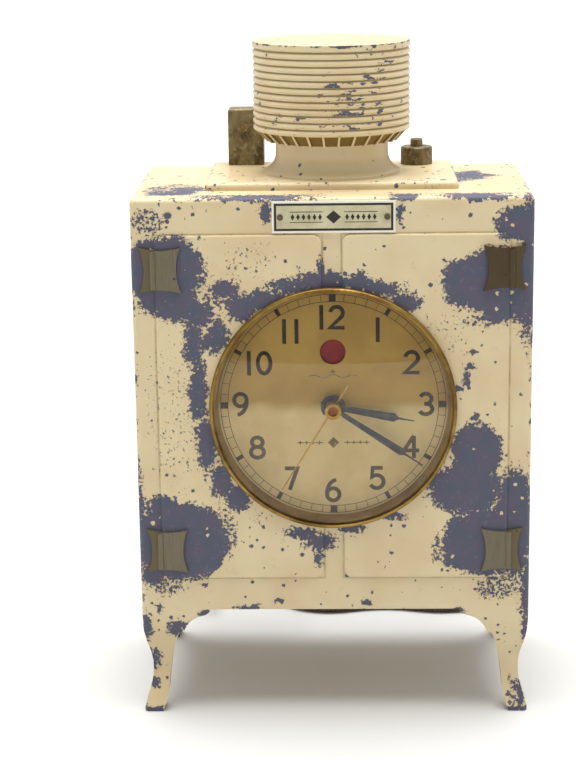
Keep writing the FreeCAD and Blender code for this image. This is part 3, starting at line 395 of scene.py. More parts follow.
def specks(paint, size, largest, density):
    """1 inside round specks of many sizes that lie about size millimetres apart."""
    cell = paint.add(
        "TexVoronoi",
        {"Vector": paint.warped(0.9, 1.3), "Scale": 1.0 / size, "Randomness": 1.0},
    )
    chance = paint.split(cell.outputs["Color"])
    radius = paint.math("MULTIPLY", paint.math("POWER", chance[0], 3.0), largest / size)
    radius = paint.math("MULTIPLY", radius, paint.math("LESS_THAN", chance[1], density))
    gap = paint.math("SUBTRACT", radius, cell.outputs["Distance"])
    return paint.ramp(gap, 0.0, 0.06)


def edge_wear(paint, place, half_x, ends_y, top):
    """Millimetres from the nearest edge of a box that is mirrored in x and open below."""
    x, y, z = place
    ax = paint.math("SUBTRACT", half_x, paint.math("ABSOLUTE", x))
    from_front = paint.math("SUBTRACT", y, ends_y[0])
    ay = paint.math("MINIMUM", from_front, paint.math("SUBTRACT", ends_y[1], y))
    az = paint.math("SUBTRACT", top, z)
    pairs = []
    for a, b in ((ax, ay), (ay, az), (ax, az)):
        pairs.append(paint.vector("LENGTH", paint.join(a, b, 0.0)))
    return paint.math("MINIMUM", paint.math("MINIMUM", pairs[0], pairs[1]), pairs[2])


def enamel(paint, chipped, dirt_and_shade, dirt_and_shade_colour):
    """Cream enamel over a slate undercoat, with the undercoat showing where chipped is 1."""
    cloudy = paint.noise(22.0, detail=2.0)
    cream = paint.mix(paint.ramp(cloudy, 0.35, 0.7), CREAM, CREAM_WARM)
    rubbed = paint.ramp(paint.noise(5.0, detail=5.0, roughness=0.7), 0.56, 0.78)
    cream = paint.mix(paint.math("MULTIPLY", rubbed, 0.35), cream, (0.50, 0.37, 0.20))
    # darkens the cream in creases, grooves and hollows: partly grime, partly painted shade
    cream = paint.mix(dirt_and_shade, cream, dirt_and_shade_colour)
    slate = paint.mix(paint.ramp(paint.noise(6.0), 0.35, 0.65), SLATE, SLATE_BLUE)
    slate = paint.mix(paint.ramp(paint.noise(1.6), 0.55, 0.8), slate, (0.13, 0.115, 0.16))
    colour = paint.mix(chipped, cream, slate)
    peel = paint.bump(paint.noise(1.8, detail=2.0), 0.035)
    step = paint.bump(paint.math("SUBTRACT", 1.0, chipped), 0.11, peel)
    rough = paint.mix(chipped, (0.36, 0.36, 0.36), (0.6, 0.6, 0.6))
    return paint.finish(colour, rough, 0.0, step, Specular_IOR_Level=0.45)


def cabinet_enamel():
    paint = Paint("chipped_enamel")
    x, y, z = paint.split(paint.mm)
    loose = paint.warped(7.0, 5.0)
    place = paint.warped(1.6, 1.9, loose)
    front = paint.ramp(y, 4.0, 8.0, 1.0, 0.0)
    grain = paint.noise(1.15, detail=5.0, roughness=0.7)
    rough_edge = paint.math("SUBTRACT", grain, 0.5)
    big = paint.math("MINIMUM", patch_field(paint, place, PATCHES), 3.2)
    inner = paint.math("MULTIPLY_ADD", rough_edge, 2.5, paint.math("MULTIPLY", big, 0.25))
    crowded = paint.ramp(patch_field(paint, place, FRECKLED), -4.0, 4.0, -0.62, -0.27)
    flaked = paint.ramp(patch_field(paint, place, FLAKED), -2.5, 2.0, -0.66, 0.02)
    # the raised edge of each door is rubbed too
    across = paint.math("SUBTRACT", paint.math("ABSOLUTE", x), sum(DOOR_X) / 2)
    beyond_x = paint.math("SUBTRACT", paint.math("ABSOLUTE", across), (DOOR_X[1] - DOOR_X[0]) / 2)
    along = paint.math("SUBTRACT", z, sum(DOOR_Z) / 2)
    beyond_z = paint.math("SUBTRACT", paint.math("ABSOLUTE", along), (DOOR_Z[1] - DOOR_Z[0]) / 2)
    beyond = paint.math("MAXIMUM", beyond_x, beyond_z)
    door_edge = paint.math("MULTIPLY_ADD", paint.math("ABSOLUTE", beyond), -0.22, -0.36)
    looseness = paint.math("MAXIMUM", paint.math("MAXIMUM", crowded, flaked), door_edge)
    freckle = paint.math("MULTIPLY_ADD", rough_edge, 2.6, looseness)
    ragged_y = paint.math("MULTIPLY_ADD", rough_edge, 2.0, paint.math("MULTIPLY_ADD", y, -0.12, 0.7))
    on_front = paint.math("MINIMUM", paint.math("MAXIMUM", inner, freckle), ragged_y)
    # a dark line along the outline of each door: partly grime in the crease, partly painted shade where the
    # raised edge meets the front
    from_gap = paint.math("ABSOLUTE", paint.math("SUBTRACT", beyond, 0.15))
    gap = paint.math("MULTIPLY", paint.ramp(from_gap, 0.1, 0.5, 0.5, 0.0), front)
    grime_and_crease_shade = paint.math("MULTIPLY", gap, paint.ramp(paint.noise(4.0), 0.3, 0.6, 0.35, 1.0))
    # sides, back and top: broad patches, and chips along the edges of the box and its plinth
    broad = paint.noise(26.0, loose, detail=2.0)
    elsewhere = paint.math("MULTIPLY_ADD", rough_edge, 0.42, paint.math("SUBTRACT", broad, 0.615))
    sheltered = paint.ramp(z, 176.0, 177.0, 1.0, 0.0)
    elsewhere = paint.math("MULTIPLY", elsewhere, paint.math("SUBTRACT", 1.0, front))
    elsewhere = paint.math("MULTIPLY", elsewhere, sheltered)
    away = edge_wear(paint, (x, y, z), CABINET_HALF_X, (0.0, CABINET_DEPTH), CABINET_TOP)
    ragged = paint.noise(6.5, detail=5.0, roughness=0.75)
    edge = paint.math("SUBTRACT", ragged, paint.math("MULTIPLY_ADD", away, 0.11, 0.47))
    away = edge_wear(paint, (x, y, z), PLINTH_HALF_X, PLINTH_Y, PLINTH_TOP)
    ragged = paint.noise(4.2, detail=5.0, roughness=0.75)
    plinth = paint.math("SUBTRACT", ragged, paint.math("MULTIPLY_ADD", away, 0.12, 0.485))
    plinth = paint.math("MULTIPLY", plinth, paint.math("GREATER_THAN", z, CABINET_TOP + 0.1))
    foot = paint.math("SUBTRACT", paint.math("MULTIPLY_ADD", rough_edge, 4.0, 1.5), z)
    total = on_front
    for part in (elsewhere, edge, plinth, foot):
        total = paint.math("MAXIMUM", total, part)
    mask = paint.ramp(total, 0.0, 0.035)
    crowd = paint.ramp(paint.noise(17.0), 0.38, 0.66, 0.18, 0.85)
    dots = paint.math("MAXIMUM", specks(paint, 2.1, 0.85, crowd), specks(paint, 5.2, 1.5, 0.55))
    left_behind = specks(paint, 2.3, 1.0, paint.ramp(paint.noise(13.0), 0.35, 0.65, 0.1, 0.75))
    mask = paint.math("MULTIPLY", mask, paint.math("SUBTRACT", 1.0, left_behind))
    chipped = paint.math("MAXIMUM", mask, dots, clamp=True)
    return enamel(paint, chipped, grime_and_crease_shade, (0.30, 0.21, 0.085))


# worn places on the drum: the middle's way round and height, and the two half widths
DRUM_PATCHES = [
    (9, 203, 17, 12),
    (-14, 197, 16, 5),
    (16, 216, 12, 6),
]


def drum_enamel():
    """The drum: dashes along the crests of its ribs; its grooves and the hollows between its fins darkened,
    partly grime and partly painted shade.
    """
    paint = Paint("drum_enamel")
    x, y, z = paint.split(paint.mm)
    back = paint.math("SUBTRACT", y, DRUM_Y)
    radius = paint.vector("LENGTH", paint.join(x, back, 0.0))
    angle = paint.math("ARCTAN2", x, paint.math("MULTIPLY", back, -1.0))
    around = paint.math("MULTIPLY", angle, DRUM_R)
    rib = paint.math("DIVIDE", paint.math("SUBTRACT", z, RIBS_Z), RIB_PITCH)
    stretched = paint.math("MULTIPLY", around, 0.42)
    apart = paint.math("MULTIPLY", paint.math("FLOOR", rib), 9.7)
    strip = paint.join(stretched, apart, paint.math("MULTIPLY", z, 0.8))
    worn = patch_field(paint, paint.join(around, 0.0, z), DRUM_PATCHES)
    need = paint.ramp(worn, -6.0, 8.0, 0.70, 0.53)
    dash = paint.math("SUBTRACT", paint.noise(1.9, strip, detail=4.0, roughness=0.65), need)
    crest = paint.ramp(radius, 25.62, 25.9)
    barrel = paint.math("GREATER_THAN", z, RIBS_Z)
    dash = paint.math("MULTIPLY", paint.ramp(dash, 0.0, 0.02), paint.math("MULTIPLY", crest, barrel))
    inwards = paint.math("SUBTRACT", DRUM_R, radius)
    rim_gap = paint.vector("LENGTH", paint.join(inwards, paint.math("SUBTRACT", DRUM_TOP, z), 0.0))
    ragged = paint.noise(4.0, detail=5.0, roughness=0.7)
    rim = paint.math("SUBTRACT", ragged, paint.math("MULTIPLY_ADD", rim_gap, 0.14, 0.47))
    chips = paint.math("MAXIMUM", dash, paint.ramp(rim, 0.0, 0.03))
    chips = paint.math("MAXIMUM", chips, specks(paint, 3.4, 0.8, 0.5), clamp=True)
    # grooves between the ribs and hollows between the skirt's fins made darker: partly grime, partly painted
    # shade
    side = paint.math("MULTIPLY", barrel, paint.math("LESS_THAN", z, DRUM_TOP - 0.5))
    groove = paint.math("MULTIPLY", paint.ramp(radius, 25.4, 25.95, 0.95, 0.0), side)
    skirt_r = paint.math("MULTIPLY_ADD", paint.math("SUBTRACT", z, SKIRT_Z), 1.03, 21.35)
    recess = paint.ramp(paint.math("SUBTRACT", radius, skirt_r), 0.0, 0.25, 1.0, 0.0)
    recess = paint.math("MULTIPLY", recess, paint.math("SUBTRACT", 1.0, barrel))
    recess = paint.math("MULTIPLY", recess, paint.ramp(z, SKIRT_Z - 0.2, SKIRT_Z + 0.1))
    dirt_and_shade = paint.math("MAXIMUM", paint.math("MULTIPLY", groove, 0.85), recess, clamp=True)
    grime_and_shade_tone = paint.mix(recess, (0.29, 0.225, 0.105), (0.17, 0.105, 0.022))
    return enamel(paint, chips, dirt_and_shade, grime_and_shade_tone)


# ---- metals ------------------------------------------------------------------------------------
def fitting_lacquer():
    """Dull olive bronze of the box and the valve cap, with brown smears and slate knocks."""
    paint = Paint("olive_lacquer")
    x, y, z = paint.split(paint.mm)
    streak = paint.noise(3.2, paint.join(x, y, paint.math("MULTIPLY", z, 0.45)), detail=5.0, roughness=0.7)
    colour = paint.mix(paint.ramp(streak, 0.35, 0.6), (0.085, 0.058, 0.018), (0.225, 0.175, 0.075))
    colour = paint.mix(paint.ramp(paint.noise(1.6, detail=4.0), 0.52, 0.7), colour, (0.33, 0.27, 0.14))
    knocks = paint.ramp(paint.noise(2.3, detail=5.0, roughness=0.8), 0.63, 0.68)
    colour = paint.mix(knocks, colour, (0.05, 0.045, 0.05))
    normal = paint.bump(streak, 0.06)
    return paint.finish(colour, 0.5, 0.25, normal)


def hinge_metal():
    """Stamped olive-grey metal, brushed up and down; the upper right hinge has gone brown."""
    paint = Paint("hinge_metal")
    x, y, z = paint.split(paint.mm)
    brushed = paint.noise(0.55, paint.join(x, y, paint.math("MULTIPLY", z, 0.06)), detail=3.0)
    broad = paint.noise(7.0, detail=3.0)
    colour = paint.mix(paint.ramp(brushed, 0.3, 0.7), (0.12, 0.095, 0.058), (0.17, 0.142, 0.095))
    colour = paint.mix(paint.ramp(broad, 0.4, 0.65), colour, (0.15, 0.13, 0.075))
    outer = paint.ramp(paint.math("ABSOLUTE", x), 57.9, 58.6)
    colour = paint.mix(outer, colour, (0.125, 0.098, 0.045))
    brown = paint.math("MULTIPLY", paint.ramp(x, 0.0, 1.0), paint.ramp(z, 100.0, 101.0))
    colour = paint.mix(brown, colour, paint.mix(outer, (0.060, 0.036, 0.012), (0.075, 0.052, 0.012)))
    spots = specks(paint, 2.4, 0.6, 0.5)
    colour = paint.mix(spots, colour, (0.03, 0.02, 0.012))
    return paint.finish(colour, paint.ramp(broad, 0.3, 0.7, 0.34, 0.5), 0.35, paint.bump(brushed, 0.02))


def aged_brass(name, light, dark, metallic):
    paint = Paint(name)
    patina = paint.noise(9.0, detail=5.0, roughness=0.6)
    colour = paint.mix(paint.ramp(patina, 0.35, 0.7), light, dark)
    spots = specks(paint, 3.0, 0.55, 0.6)
    colour = paint.mix(spots, colour, (0.60, 0.42, 0.18))
    brushed = paint.noise(0.8, detail=2.0)
    rough = paint.ramp(patina, 0.3, 0.7, 0.30, 0.46)
    return paint.finish(colour, rough, metallic, paint.bump(brushed, 0.012))


def gilt():
    """Gilding on the seconds hand, worn down to an amber lacquer inside its cup."""
    paint = Paint("gilt")
    x, _, z = paint.split(paint.mm)
    away = paint.vector("LENGTH", paint.join(x, paint.math("SUBTRACT", z, DIAL_Z), 0.0))
    colour = paint.mix(paint.ramp(paint.noise(2.0), 0.35, 0.7), (0.48, 0.28, 0.065), (0.34, 0.18, 0.035))
    colour = paint.mix(paint.ramp(away, 1.75, 1.35), colour, (0.24, 0.075, 0.008))
    return paint.finish(colour, 0.4, 0.7, paint.bump(paint.noise(0.5), 0.01))


def plain_metal(name, light, dark, roughness):
    paint = Paint(name)
    broad = paint.noise(6.0, detail=4.0)
    colour = paint.mix(paint.ramp(broad, 0.35, 0.65), light, dark)
    fine = paint.noise(0.5, detail=2.0)
    rough = paint.ramp(broad, 0.3, 0.7, roughness - 0.05, roughness + 0.08)
    return paint.finish(colour, rough, 1.0, paint.bump(fine, 0.008))


# ---- other materials ---------------------------------------------------------------------------
def dial_paint():
    """Amber dial, paler below its middle: the paler lower half is a painted reflection of the pale floor in
    the glass.
    """
    paint = Paint("dial_paint")
    z = paint.split(paint.mm)[2]
    # paler below the middle, with a wavy edge: a painted reflection of the pale floor in the glass
    wave = paint.math("MULTIPLY_ADD", paint.noise(14.0, detail=2.0), 5.0, -2.5)
    painted_reflection = paint.ramp(paint.math("ADD", z, wave), 107.0, 102.5)
    amber = paint.mix(paint.ramp(paint.noise(15.0), 0.35, 0.7), (0.50, 0.315, 0.066), (0.41, 0.25, 0.046))
    pale = paint.mix(paint.ramp(paint.noise(10.0), 0.35, 0.7), (0.80, 0.63, 0.31), (0.71, 0.54, 0.245))
    colour = paint.mix(painted_reflection, amber, pale)
    spots = specks(paint, 6.0, 0.45, 0.4)
    colour = paint.mix(paint.math("MULTIPLY", spots, 0.7), colour, (0.12, 0.07, 0.03))
    return paint.finish(colour, 0.5, 0.0, paint.bump(paint.noise(0.7), 0.01))


def dial_ink():
    paint = Paint("dial_ink")
    z = paint.split(paint.mm)[2]
    # the numbers lighter below the middle: a painted reflection of the pale floor in the glass
    ink_painted_reflection = paint.ramp(z, 108.0, 100.0)
    colour = paint.mix(ink_painted_reflection, (0.020, 0.012, 0.008), (0.105, 0.082, 0.060))
    worn = paint.ramp(paint.noise(1.2, detail=4.0), 0.58, 0.8)
    colour = paint.mix(paint.math("MULTIPLY", worn, 0.5), colour, (0.20, 0.14, 0.06))
    return paint.finish(colour, 0.55)


def faint_ink():
    paint = Paint("faint_ink")
    worn = paint.ramp(paint.noise(0.8, detail=4.0), 0.4, 0.7)
    return paint.finish(paint.mix(worn, (0.16, 0.10, 0.035), (0.36, 0.26, 0.10)), 0.6)


def hand_lacquer():
    paint = Paint("hand_lacquer")
    worn = paint.noise(3.0, detail=4.0)
    colour = paint.mix(paint.ramp(worn, 0.4, 0.7), (0.030, 0.029, 0.038), (0.07, 0.07, 0.085))
    return paint.finish(colour, 0.32, 0.2, paint.bump(paint.noise(0.5), 0.006))


def red_paint():
    paint = Paint("indicator_red")
    worn = paint.noise(2.5, detail=4.0)
    colour = paint.mix(paint.ramp(worn, 0.35, 0.7), (0.30, 0.006, 0.008), (0.18, 0.005, 0.007))
    return paint.finish(colour, 0.45, 0.0, paint.bump(worn, 0.02))


def crystal():
    paint = Paint("crystal")
    haze = paint.ramp(paint.noise(11.0, detail=5.0), 0.45, 0.8, 0.0, 0.02)
    return paint.finish((1.0, 0.985, 0.94), haze, 0.0, None, Transmission_Weight=1.0, IOR=1.3)


def plate_paint():
    """Satin silver-sage enamel of the nameplate, white along its rim."""
    paint = Paint("plate_paint")
    x, _, z = paint.split(paint.mm)
    cloudy = paint.noise(5.0, detail=4.0)
    colour = paint.mix(paint.ramp(cloudy, 0.35, 0.7), (0.60, 0.55, 0.35), (0.49, 0.44, 0.26))
    from_edges = []
    for ends, place in ((PLATE_X, x), (PLATE_Z, z)):
        from_middle = paint.math("ABSOLUTE", paint.math("SUBTRACT", place, sum(ends) / 2))
        from_edges.append(paint.math("SUBTRACT", (ends[1] - ends[0]) / 2, from_middle))
    margin = paint.ramp(paint.math("MINIMUM", *from_edges), 0.75, 0.65)
    colour = paint.mix(margin, colour, (0.80, 0.78, 0.66))
    return paint.finish(colour, 0.36, 0.0, paint.bump(paint.noise(0.6), 0.008))


def wrinkle_paint():
    paint = Paint("wrinkle_paint")
    inputs = {"Vector": paint.warped(2.0, 1.2), "Scale": 1.1}
    height = paint.add("TexVoronoi", inputs, feature="SMOOTH_F1").outputs["Distance"]
    colour = paint.mix(paint.ramp(paint.noise(14.0), 0.4, 0.7), (0.030, 0.024, 0.018), (0.055, 0.043, 0.031))
    scuffs = paint.ramp(paint.noise(5.0, detail=6.0, roughness=0.8), 0.62, 0.70)
    colour = paint.mix(paint.math("MULTIPLY", scuffs, 0.6), colour, (0.21, 0.18, 0.14))
    return paint.finish(colour, paint.ramp(height, 0.2, 0.7, 0.62, 0.42), 0.0, paint.bump(height, 0.22))


def phenolic():
    paint = Paint("phenolic")
    swirl = paint.noise(7.0, paint.warped(9.0, 6.0), detail=4.0)
    colour = paint.mix(paint.ramp(swirl, 0.4, 0.7), (0.018, 0.013, 0.010), (0.045, 0.026, 0.016))
    fine = paint.noise(0.9, detail=3.0)
    return paint.finish(colour, paint.ramp(swirl, 0.3, 0.7, 0.26, 0.42), 0.0, paint.bump(fine, 0.015))


def braided_cloth():
    """Brown braided cotton: two sets of fine threads that cross along the cord."""
    paint = Paint("braided_cloth")
    x, y, z = paint.split(paint.mm)
    sets = []
    for place in (paint.mm, paint.join(paint.math("MULTIPLY", x, -1.0), y, z)):
        inputs = {"Vector": place, "Scale": 0.42, "Distortion": 1.2, "Detail": 1.0}
        sets.append(paint.add("TexWave", inputs, bands_direction="DIAGONAL").outputs["Fac"])
    threads = paint.math("MAXIMUM", *sets)
    colour = paint.mix(paint.ramp(threads, 0.4, 1.0), (0.018, 0.010, 0.006), (0.085, 0.048, 0.028))
    colour = paint.mix(paint.ramp(paint.noise(16.0), 0.45, 0.75), colour, (0.11, 0.08, 0.055))
    return paint.finish(colour, 0.85, 0.0, paint.bump(threads, 0.18), Sheen_Weight=0.35)


def dull(name, light, dark, roughness, size=3.0, depth=0.05):
    paint = Paint(name)
    grain = paint.noise(size, detail=5.0)
    colour = paint.mix(paint.ramp(grain, 0.35, 0.7), light, dark)
    return paint.finish(colour, roughness, 0.0, paint.bump(grain, depth))


MATERIALS = {
    "paint": cabinet_enamel(),
    "fitting_metal": fitting_lacquer(),
    "plate_metal": plate_paint(),
    "bezel_brass": aged_brass("aged_brass", (0.34, 0.21, 0.052), (0.16, 0.088, 0.018), 0.85),
    "bright_brass": plain_metal("bright_brass", (0.62, 0.44, 0.17), (0.48, 0.32, 0.10), 0.3),
    "dial_paint": dial_paint(),
    "hand_black": hand_lacquer(),
    "gilt": gilt(),
    "indicator_red": red_paint(),
    "crystal": crystal(),
    "steel": plain_metal("steel", (0.42, 0.41, 0.38), (0.28, 0.26, 0.23), 0.34),
    "core_iron": plain_metal("core_iron", (0.20, 0.19, 0.18), (0.12, 0.11, 0.11), 0.45),
    "coil_tape": dull("coil_tape", (0.16, 0.09, 0.03), (0.09, 0.045, 0.015), 0.5, 2.0),
    "bobbin_fibre": dull("bobbin_fibre", (0.20, 0.06, 0.03), (0.13, 0.035, 0.02), 0.7),
    "cover_paint": wrinkle_paint(),
    "knob_black": phenolic(),
    "cord_cloth": braided_cloth(),
    "relief_rubber": dull("relief_rubber", (0.020, 0.017, 0.015), (0.036, 0.031, 0.026), 0.62, 2.5, 0.04),
    "wire_cloth": dull("wire_cloth", (0.03, 0.03, 0.028), (0.05, 0.045, 0.035), 0.8, 0.8),
}
OVERRIDES = {
    "condenser_drum": drum_enamel(),
    "glass_ring": aged_brass("sight_brass", (0.42, 0.255, 0.055), (0.25, 0.135, 0.024), 0.3),
    "nameplate_pins": dull("plate_pins", (0.11, 0.09, 0.03), (0.06, 0.045, 0.015), 0.4, 1.0),
}
hinges = hinge_metal()
for height in ("lower", "upper"):
    for side in ("left", "right"):
        OVERRIDES["hinge_%s_%s" % (height, side)] = hinges
INK, FAINT_INK = dial_ink(), faint_ink()

for part in frame["record"]["subparts"]:
    node = nodes[part["node"]]
    material = OVERRIDES.get(part["node"], MATERIALS[part["material_slot"]])
    for slot in node.material_slots:
        slot.link = "OBJECT"
        slot.material = material
cord.data.materials.append(MATERIALS["cord_cloth"])


# ---- flat print --------------------------------------------------------------------------------
def ribbon(mesh, points, width, y, closed=False):
    """A flat stroke of that width in the plane y, with mitred corners; points are (x, z)."""
    count = len(points)
    rows = []
    for number, (x, z) in enumerate(points):
        before = points[(number - 1) % count] if closed or number else points[0]
        after = points[(number + 1) % count] if closed or number < count - 1 else points[-1]
        into = Vector((x - before[0], z - before[1]))
        out = Vector((after[0] - x, after[1] - z))
        if into.length < 1e-9:
            into = out
        if out.length < 1e-9:
            out = into
        into.normalize()
        out.normalize()
        side = Vector((-into.y - out.y, into.x + out.x))
        side.normalize()
        reach = width / 2 / max(0.5, side.dot(Vector((-into.y, into.x))))
        left = mesh.verts.new(at(x + side.x * reach, y, z + side.y * reach))
        right = mesh.verts.new(at(x - side.x * reach, y, z - side.y * reach))
        rows.append((left, right))
    pairs = list(zip(rows, rows[1:]))
    if closed:
        pairs.append((rows[-1], rows[0]))
    for (a, b), (c, d) in pairs:
        mesh.faces.new((a, b, d, c))


def polygon(mesh, points, y):
    mesh.faces.new([mesh.verts.new(at(x, y, z)) for x, z in points])


def arc(cx, cz, rx, rz, start, end, steps=20):
    points = []
    for number in range(steps + 1):
        angle = math.radians(start + (end - start) * number / steps)
        points.append((cx + rx * math.cos(angle), cz + rz * math.sin(angle)))
    return points


def printed(name, mesh, material, thickness=0.02):
    """Makes a piece of the flat faces, a little thick, and puts it on the clock's frame."""
    bmesh.ops.recalc_face_normals(mesh, faces=mesh.faces)
    data = bpy.data.meshes.new(name)
    mesh.to_mesh(data)
    mesh.free()
    piece = bpy.data.objects.new(name, data)
    bpy.context.collection.objects.link(piece)
    solid = piece.modifiers.new("thickness", "SOLIDIFY")
    solid.thickness = thickness * MM
    solid.offset = 0.0
    data.materials.append(material)
    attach(piece, "clock_frame")


def ring(cx, cz, rx, rz, steps):
    return arc(cx, cz, rx, rz, 0, 360, steps)[:-1]


# each digit is a list of strokes, as the points of the line and whether it closes
HALF_W, HALF_H, STROKE = 2.05, 3.45, 1.3
DIGITS = {
    "0": [(ring(0, 0, HALF_W, HALF_H, 36), True)],
    "1": [([(0, -HALF_H - STROKE / 2), (0, HALF_H + STROKE / 2)], False)],
    "2": [
        (
            arc(0, HALF_H - 2.0, HALF_W, 2.0, 172, -42, 24)
            + [(-HALF_W - 0.1, -HALF_H), (HALF_W + 0.5, -HALF_H)],
            False,
        )
    ],
    "3": [
        (arc(-0.1, HALF_H - 1.72, 1.85, 1.72, 158, -90) + [(-0.6, 0.04)], False),
        ([(-0.6, 0.04)] + arc(-0.1, 0.04 - 1.76, 2.15, 1.76, 90, -155), False),
    ],
    "4": [
        ([(0.95, -HALF_H - 0.6), (0.95, HALF_H)], False),
        ([(0.95, HALF_H + 0.1), (-HALF_W - 0.25, -1.45), (HALF_W + 0.6, -1.45)], False),
    ],
    "5": [
        (
            [(HALF_W - 0.2, HALF_H), (-1.45, HALF_H), (-1.75, 0.35)]
            + arc(-0.15, -1.25, 2.25, 2.23, 128, -152),
            False,
        )
    ],
    "6": [
        (ring(0, -HALF_H + 2.1, HALF_W, 2.1, 30), True),
        (arc(1.15, -1.2, 3.25, 4.75, 178, 92, 14), False),
    ],
    "7": [([(-HALF_W, HALF_H), (HALF_W, HALF_H), (HALF_W - 0.9, 0.9), (-0.55, -HALF_H - 0.5)], False)],
    "8": [
        (ring(0, HALF_H - 1.62, 1.78, 1.62, 28), True),
        (ring(0, -HALF_H + 1.86, HALF_W + 0.1, 1.86, 28), True),
    ],
}
DIGITS["9"] = [([(-x, -z) for x, z in path], closed) for path, closed in DIGITS["6"]]
# each number with its middle, across and up from the dial's centre
NUMBERS = [
    (12, -0.1, 29.2),
    (1, 14.6, 25.0),
    (2, 25.6, 14.1),
    (3, 30.3, 0.1),
    (4, 25.4, -14.2),
    (5, 14.3, -25.0),
    (6, -0.2, -29.2),
    (7, -14.0, -25.0),
    (8, -25.0, -14.4),
    (9, -30.3, 0.4),
    (10, -23.8, 14.1),
    (11, -13.7, 24.6),
]
PRINT_Y = DIAL_Y - 0.02


def dial_numbers():
    mesh = bmesh.new()
    layer = 0
    for number, cx, cz in NUMBERS:
        text = str(number)
        widths = [STROKE if digit == "1" else 2 * HALF_W + STROKE for digit in text]
        gap = 2.7 if text == "11" else 1.6
        x = cx - (sum(widths) + gap * (len(text) - 1)) / 2
        for digit, width in zip(text, widths):
            for path, closed in DIGITS[digit]:
                layer += 1
                moved = [(x + width / 2 + px, DIAL_Z + cz + pz) for px, pz in path]
                ribbon(mesh, moved, STROKE, PRINT_Y - 0.002 * (layer % 3), closed)
            x += width + gap
    printed("dial_numbers", mesh, INK)


def dial_track():
    """Two thin circles with a line for each minute and a block for each five."""
    mesh = bmesh.new()
    for radius in (34.4, 36.8):
        ribbon(mesh, ring(0, DIAL_Z, radius, radius, 180), 0.2, PRINT_Y, True)
    for minute in range(60):
        angle = math.radians(6 * minute)
        ends = [(r * math.sin(angle), DIAL_Z + r * math.cos(angle)) for r in (34.3, 36.9)]
        width = 2.2 if minute % 15 == 0 else 1.35 if minute % 5 == 0 else 0.17
        ribbon(mesh, ends, width, PRINT_Y - 0.003)
    printed("dial_track", mesh, INK)


def lozenge(mesh, x, z, half_x, half_z, y):
    polygon(mesh, [(x - half_x, z), (x, z + half_z), (x + half_x, z), (x, z - half_z)], y)


def dial_ornaments():
    """A plain flourish above the hands and a thin rule with a lozenge below them."""
    mesh = bmesh.new()
    z = DIAL_Z + 9.6
    upper = []
    for number in range(21):
        swell = 0.7 * math.exp(-((number - 10) / 9.0) ** 2)
        upper.append((-8.0 + 0.8 * number, z + swell * math.sin(number * 0.78)))
    ribbon(mesh, upper, 0.34, PRINT_Y)
    lozenge(mesh, 0.0, z + 1.5, 0.9, 0.7, PRINT_Y)
    z = DIAL_Z - 12.8
    for side in (-1, 1):
        ribbon(mesh, [(side * 3.4, z), (side * 12.0, z)], 0.3, PRINT_Y)
        for number in range(4):
            lozenge(mesh, side * (4.6 + 2.1 * number), z, 0.45, 0.75, PRINT_Y - 0.003)
    lozenge(mesh, 0.0, z, 1.9, 1.9, PRINT_Y)
    printed("dial_ornaments", mesh, FAINT_INK)


def plate_print():
    """A dark line round the nameplate and a row of lozenges where a name would be."""
    mesh = bmesh.new()
    y = PLATE_FRONT - 0.015
    inset = 1.05
    x0, x1 = PLATE_X[0] + inset, PLATE_X[1] - inset
    z0, z1 = PLATE_Z[0] + inset, PLATE_Z[1] - inset
    ribbon(mesh, [(x0, z0), (x1, z0), (x1, z1), (x0, z1)], 0.75, y, True)
    middle_x, middle_z = sum(PLATE_X) / 2, sum(PLATE_Z) / 2
    lozenge(mesh, middle_x, middle_z, 2.4, 2.1, y)
    for side in (-1, 1):
        for number in range(6):
            x = middle_x + side * (4.3 + 1.75 * number)
            lozenge(mesh, x, middle_z, 0.62, 1.05, y)
        for up in (-1.65, 1.65):
            ends = [(middle_x + side * 3.4, middle_z + up), (middle_x + side * 14.0, middle_z + up)]
            ribbon(mesh, ends, 0.22, y - 0.003)
    printed("plate_print", mesh, INK)


def box_rosette():
    """A small pressed flower of eight petals on the boss of the control box."""
    mesh = bmesh.new()
    x, y, z = -30.15, 56.46, 190.2
    for petal in range(8):
        angle = math.pi / 4 * petal
        cx, cz = x + 1.05 * math.cos(angle), z + 1.05 * math.sin(angle)
        polygon(mesh, ring(cx, cz, 0.36, 0.36, 10), y)
    polygon(mesh, ring(x, z, 0.42, 0.42, 12), y)
    printed("box_rosette", mesh, MATERIALS["bezel_brass"], 0.16)


box_rosette()
dial_numbers()
dial_track()
dial_ornaments()
plate_print()


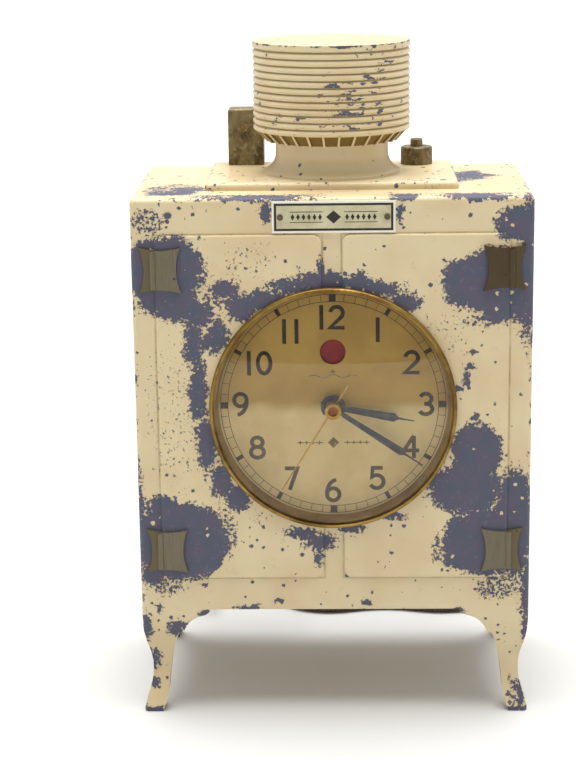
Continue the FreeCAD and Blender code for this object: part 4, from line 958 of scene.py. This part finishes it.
# ---- floor and light ---------------------------------------------------------------------------
def make_floor():
    data = bpy.data.meshes.new("floor")
    half = 14.0
    corners = [(-half, -half, 0), (half, -half, 0), (half, half, 0), (-half, half, 0)]
    data.from_pydata(corners, [], [(0, 1, 2, 3)])
    floor = bpy.data.objects.new("floor", data)
    bpy.context.collection.objects.link(floor)
    paint = Paint("paper")
    data.materials.append(paint.finish((0.62, 0.62, 0.61), 0.9, 0.0, None, Specular_IOR_Level=0.1))
    floor.location.z = -0.0002


def new_light(name, kind, place, target, power, **settings):
    data = bpy.data.lights.new(name, kind)
    data.energy = power
    for key, value in settings.items():
        setattr(data, key, value)
    light = bpy.data.objects.new(name, data)
    bpy.context.collection.objects.link(light)
    light.location = place
    light.rotation_euler = (Vector(target) - Vector(place)).to_track_quat("-Z", "Y").to_euler()
    return light


def make_world():
    """A bright room that is dim in front of the clock, so that the glass stays clear."""
    world = bpy.data.worlds.new("studio")
    world.use_nodes = True
    tree = world.node_tree
    background = tree.nodes["Background"]
    background.inputs["Strength"].default_value = 0.85
    direction = tree.nodes.new("ShaderNodeTexCoord").outputs["Generated"]
    split = tree.nodes.new("ShaderNodeSeparateXYZ")
    tree.links.new(direction, split.inputs[0])
    levels = []
    for output, low, high in ((1, -0.7, 0.1), (2, 0.45, 0.85)):
        ramp = tree.nodes.new("ShaderNodeMapRange")
        ramp.interpolation_type = "SMOOTHSTEP"
        tree.links.new(split.outputs[output], ramp.inputs[0])
        for key, value in ((1, low), (2, high), (3, 0.22), (4, 1.0)):
            ramp.inputs[key].default_value = value
        levels.append(ramp.outputs[0])
    brighter = tree.nodes.new("ShaderNodeMath")
    brighter.operation = "MAXIMUM"
    for number, level in enumerate(levels):
        tree.links.new(level, brighter.inputs[number])
    tree.links.new(brighter.outputs[0], background.inputs["Color"])
    bpy.context.scene.world = world


make_floor()
make_world()
new_light("overhead", "SUN", (0, 0.1, 1.5), (0, 0.05, 0), 4.2, angle=math.radians(50))
front = new_light("front", "AREA", (-0.35, -1.2, 1.0), (0, 0, 0.1), 1.2, shape="DISK", size=0.8)
front.visible_glossy = False

bpy.context.scene.view_settings.view_transform = "Standard"
bpy.context.scene.view_settings.look = "None"
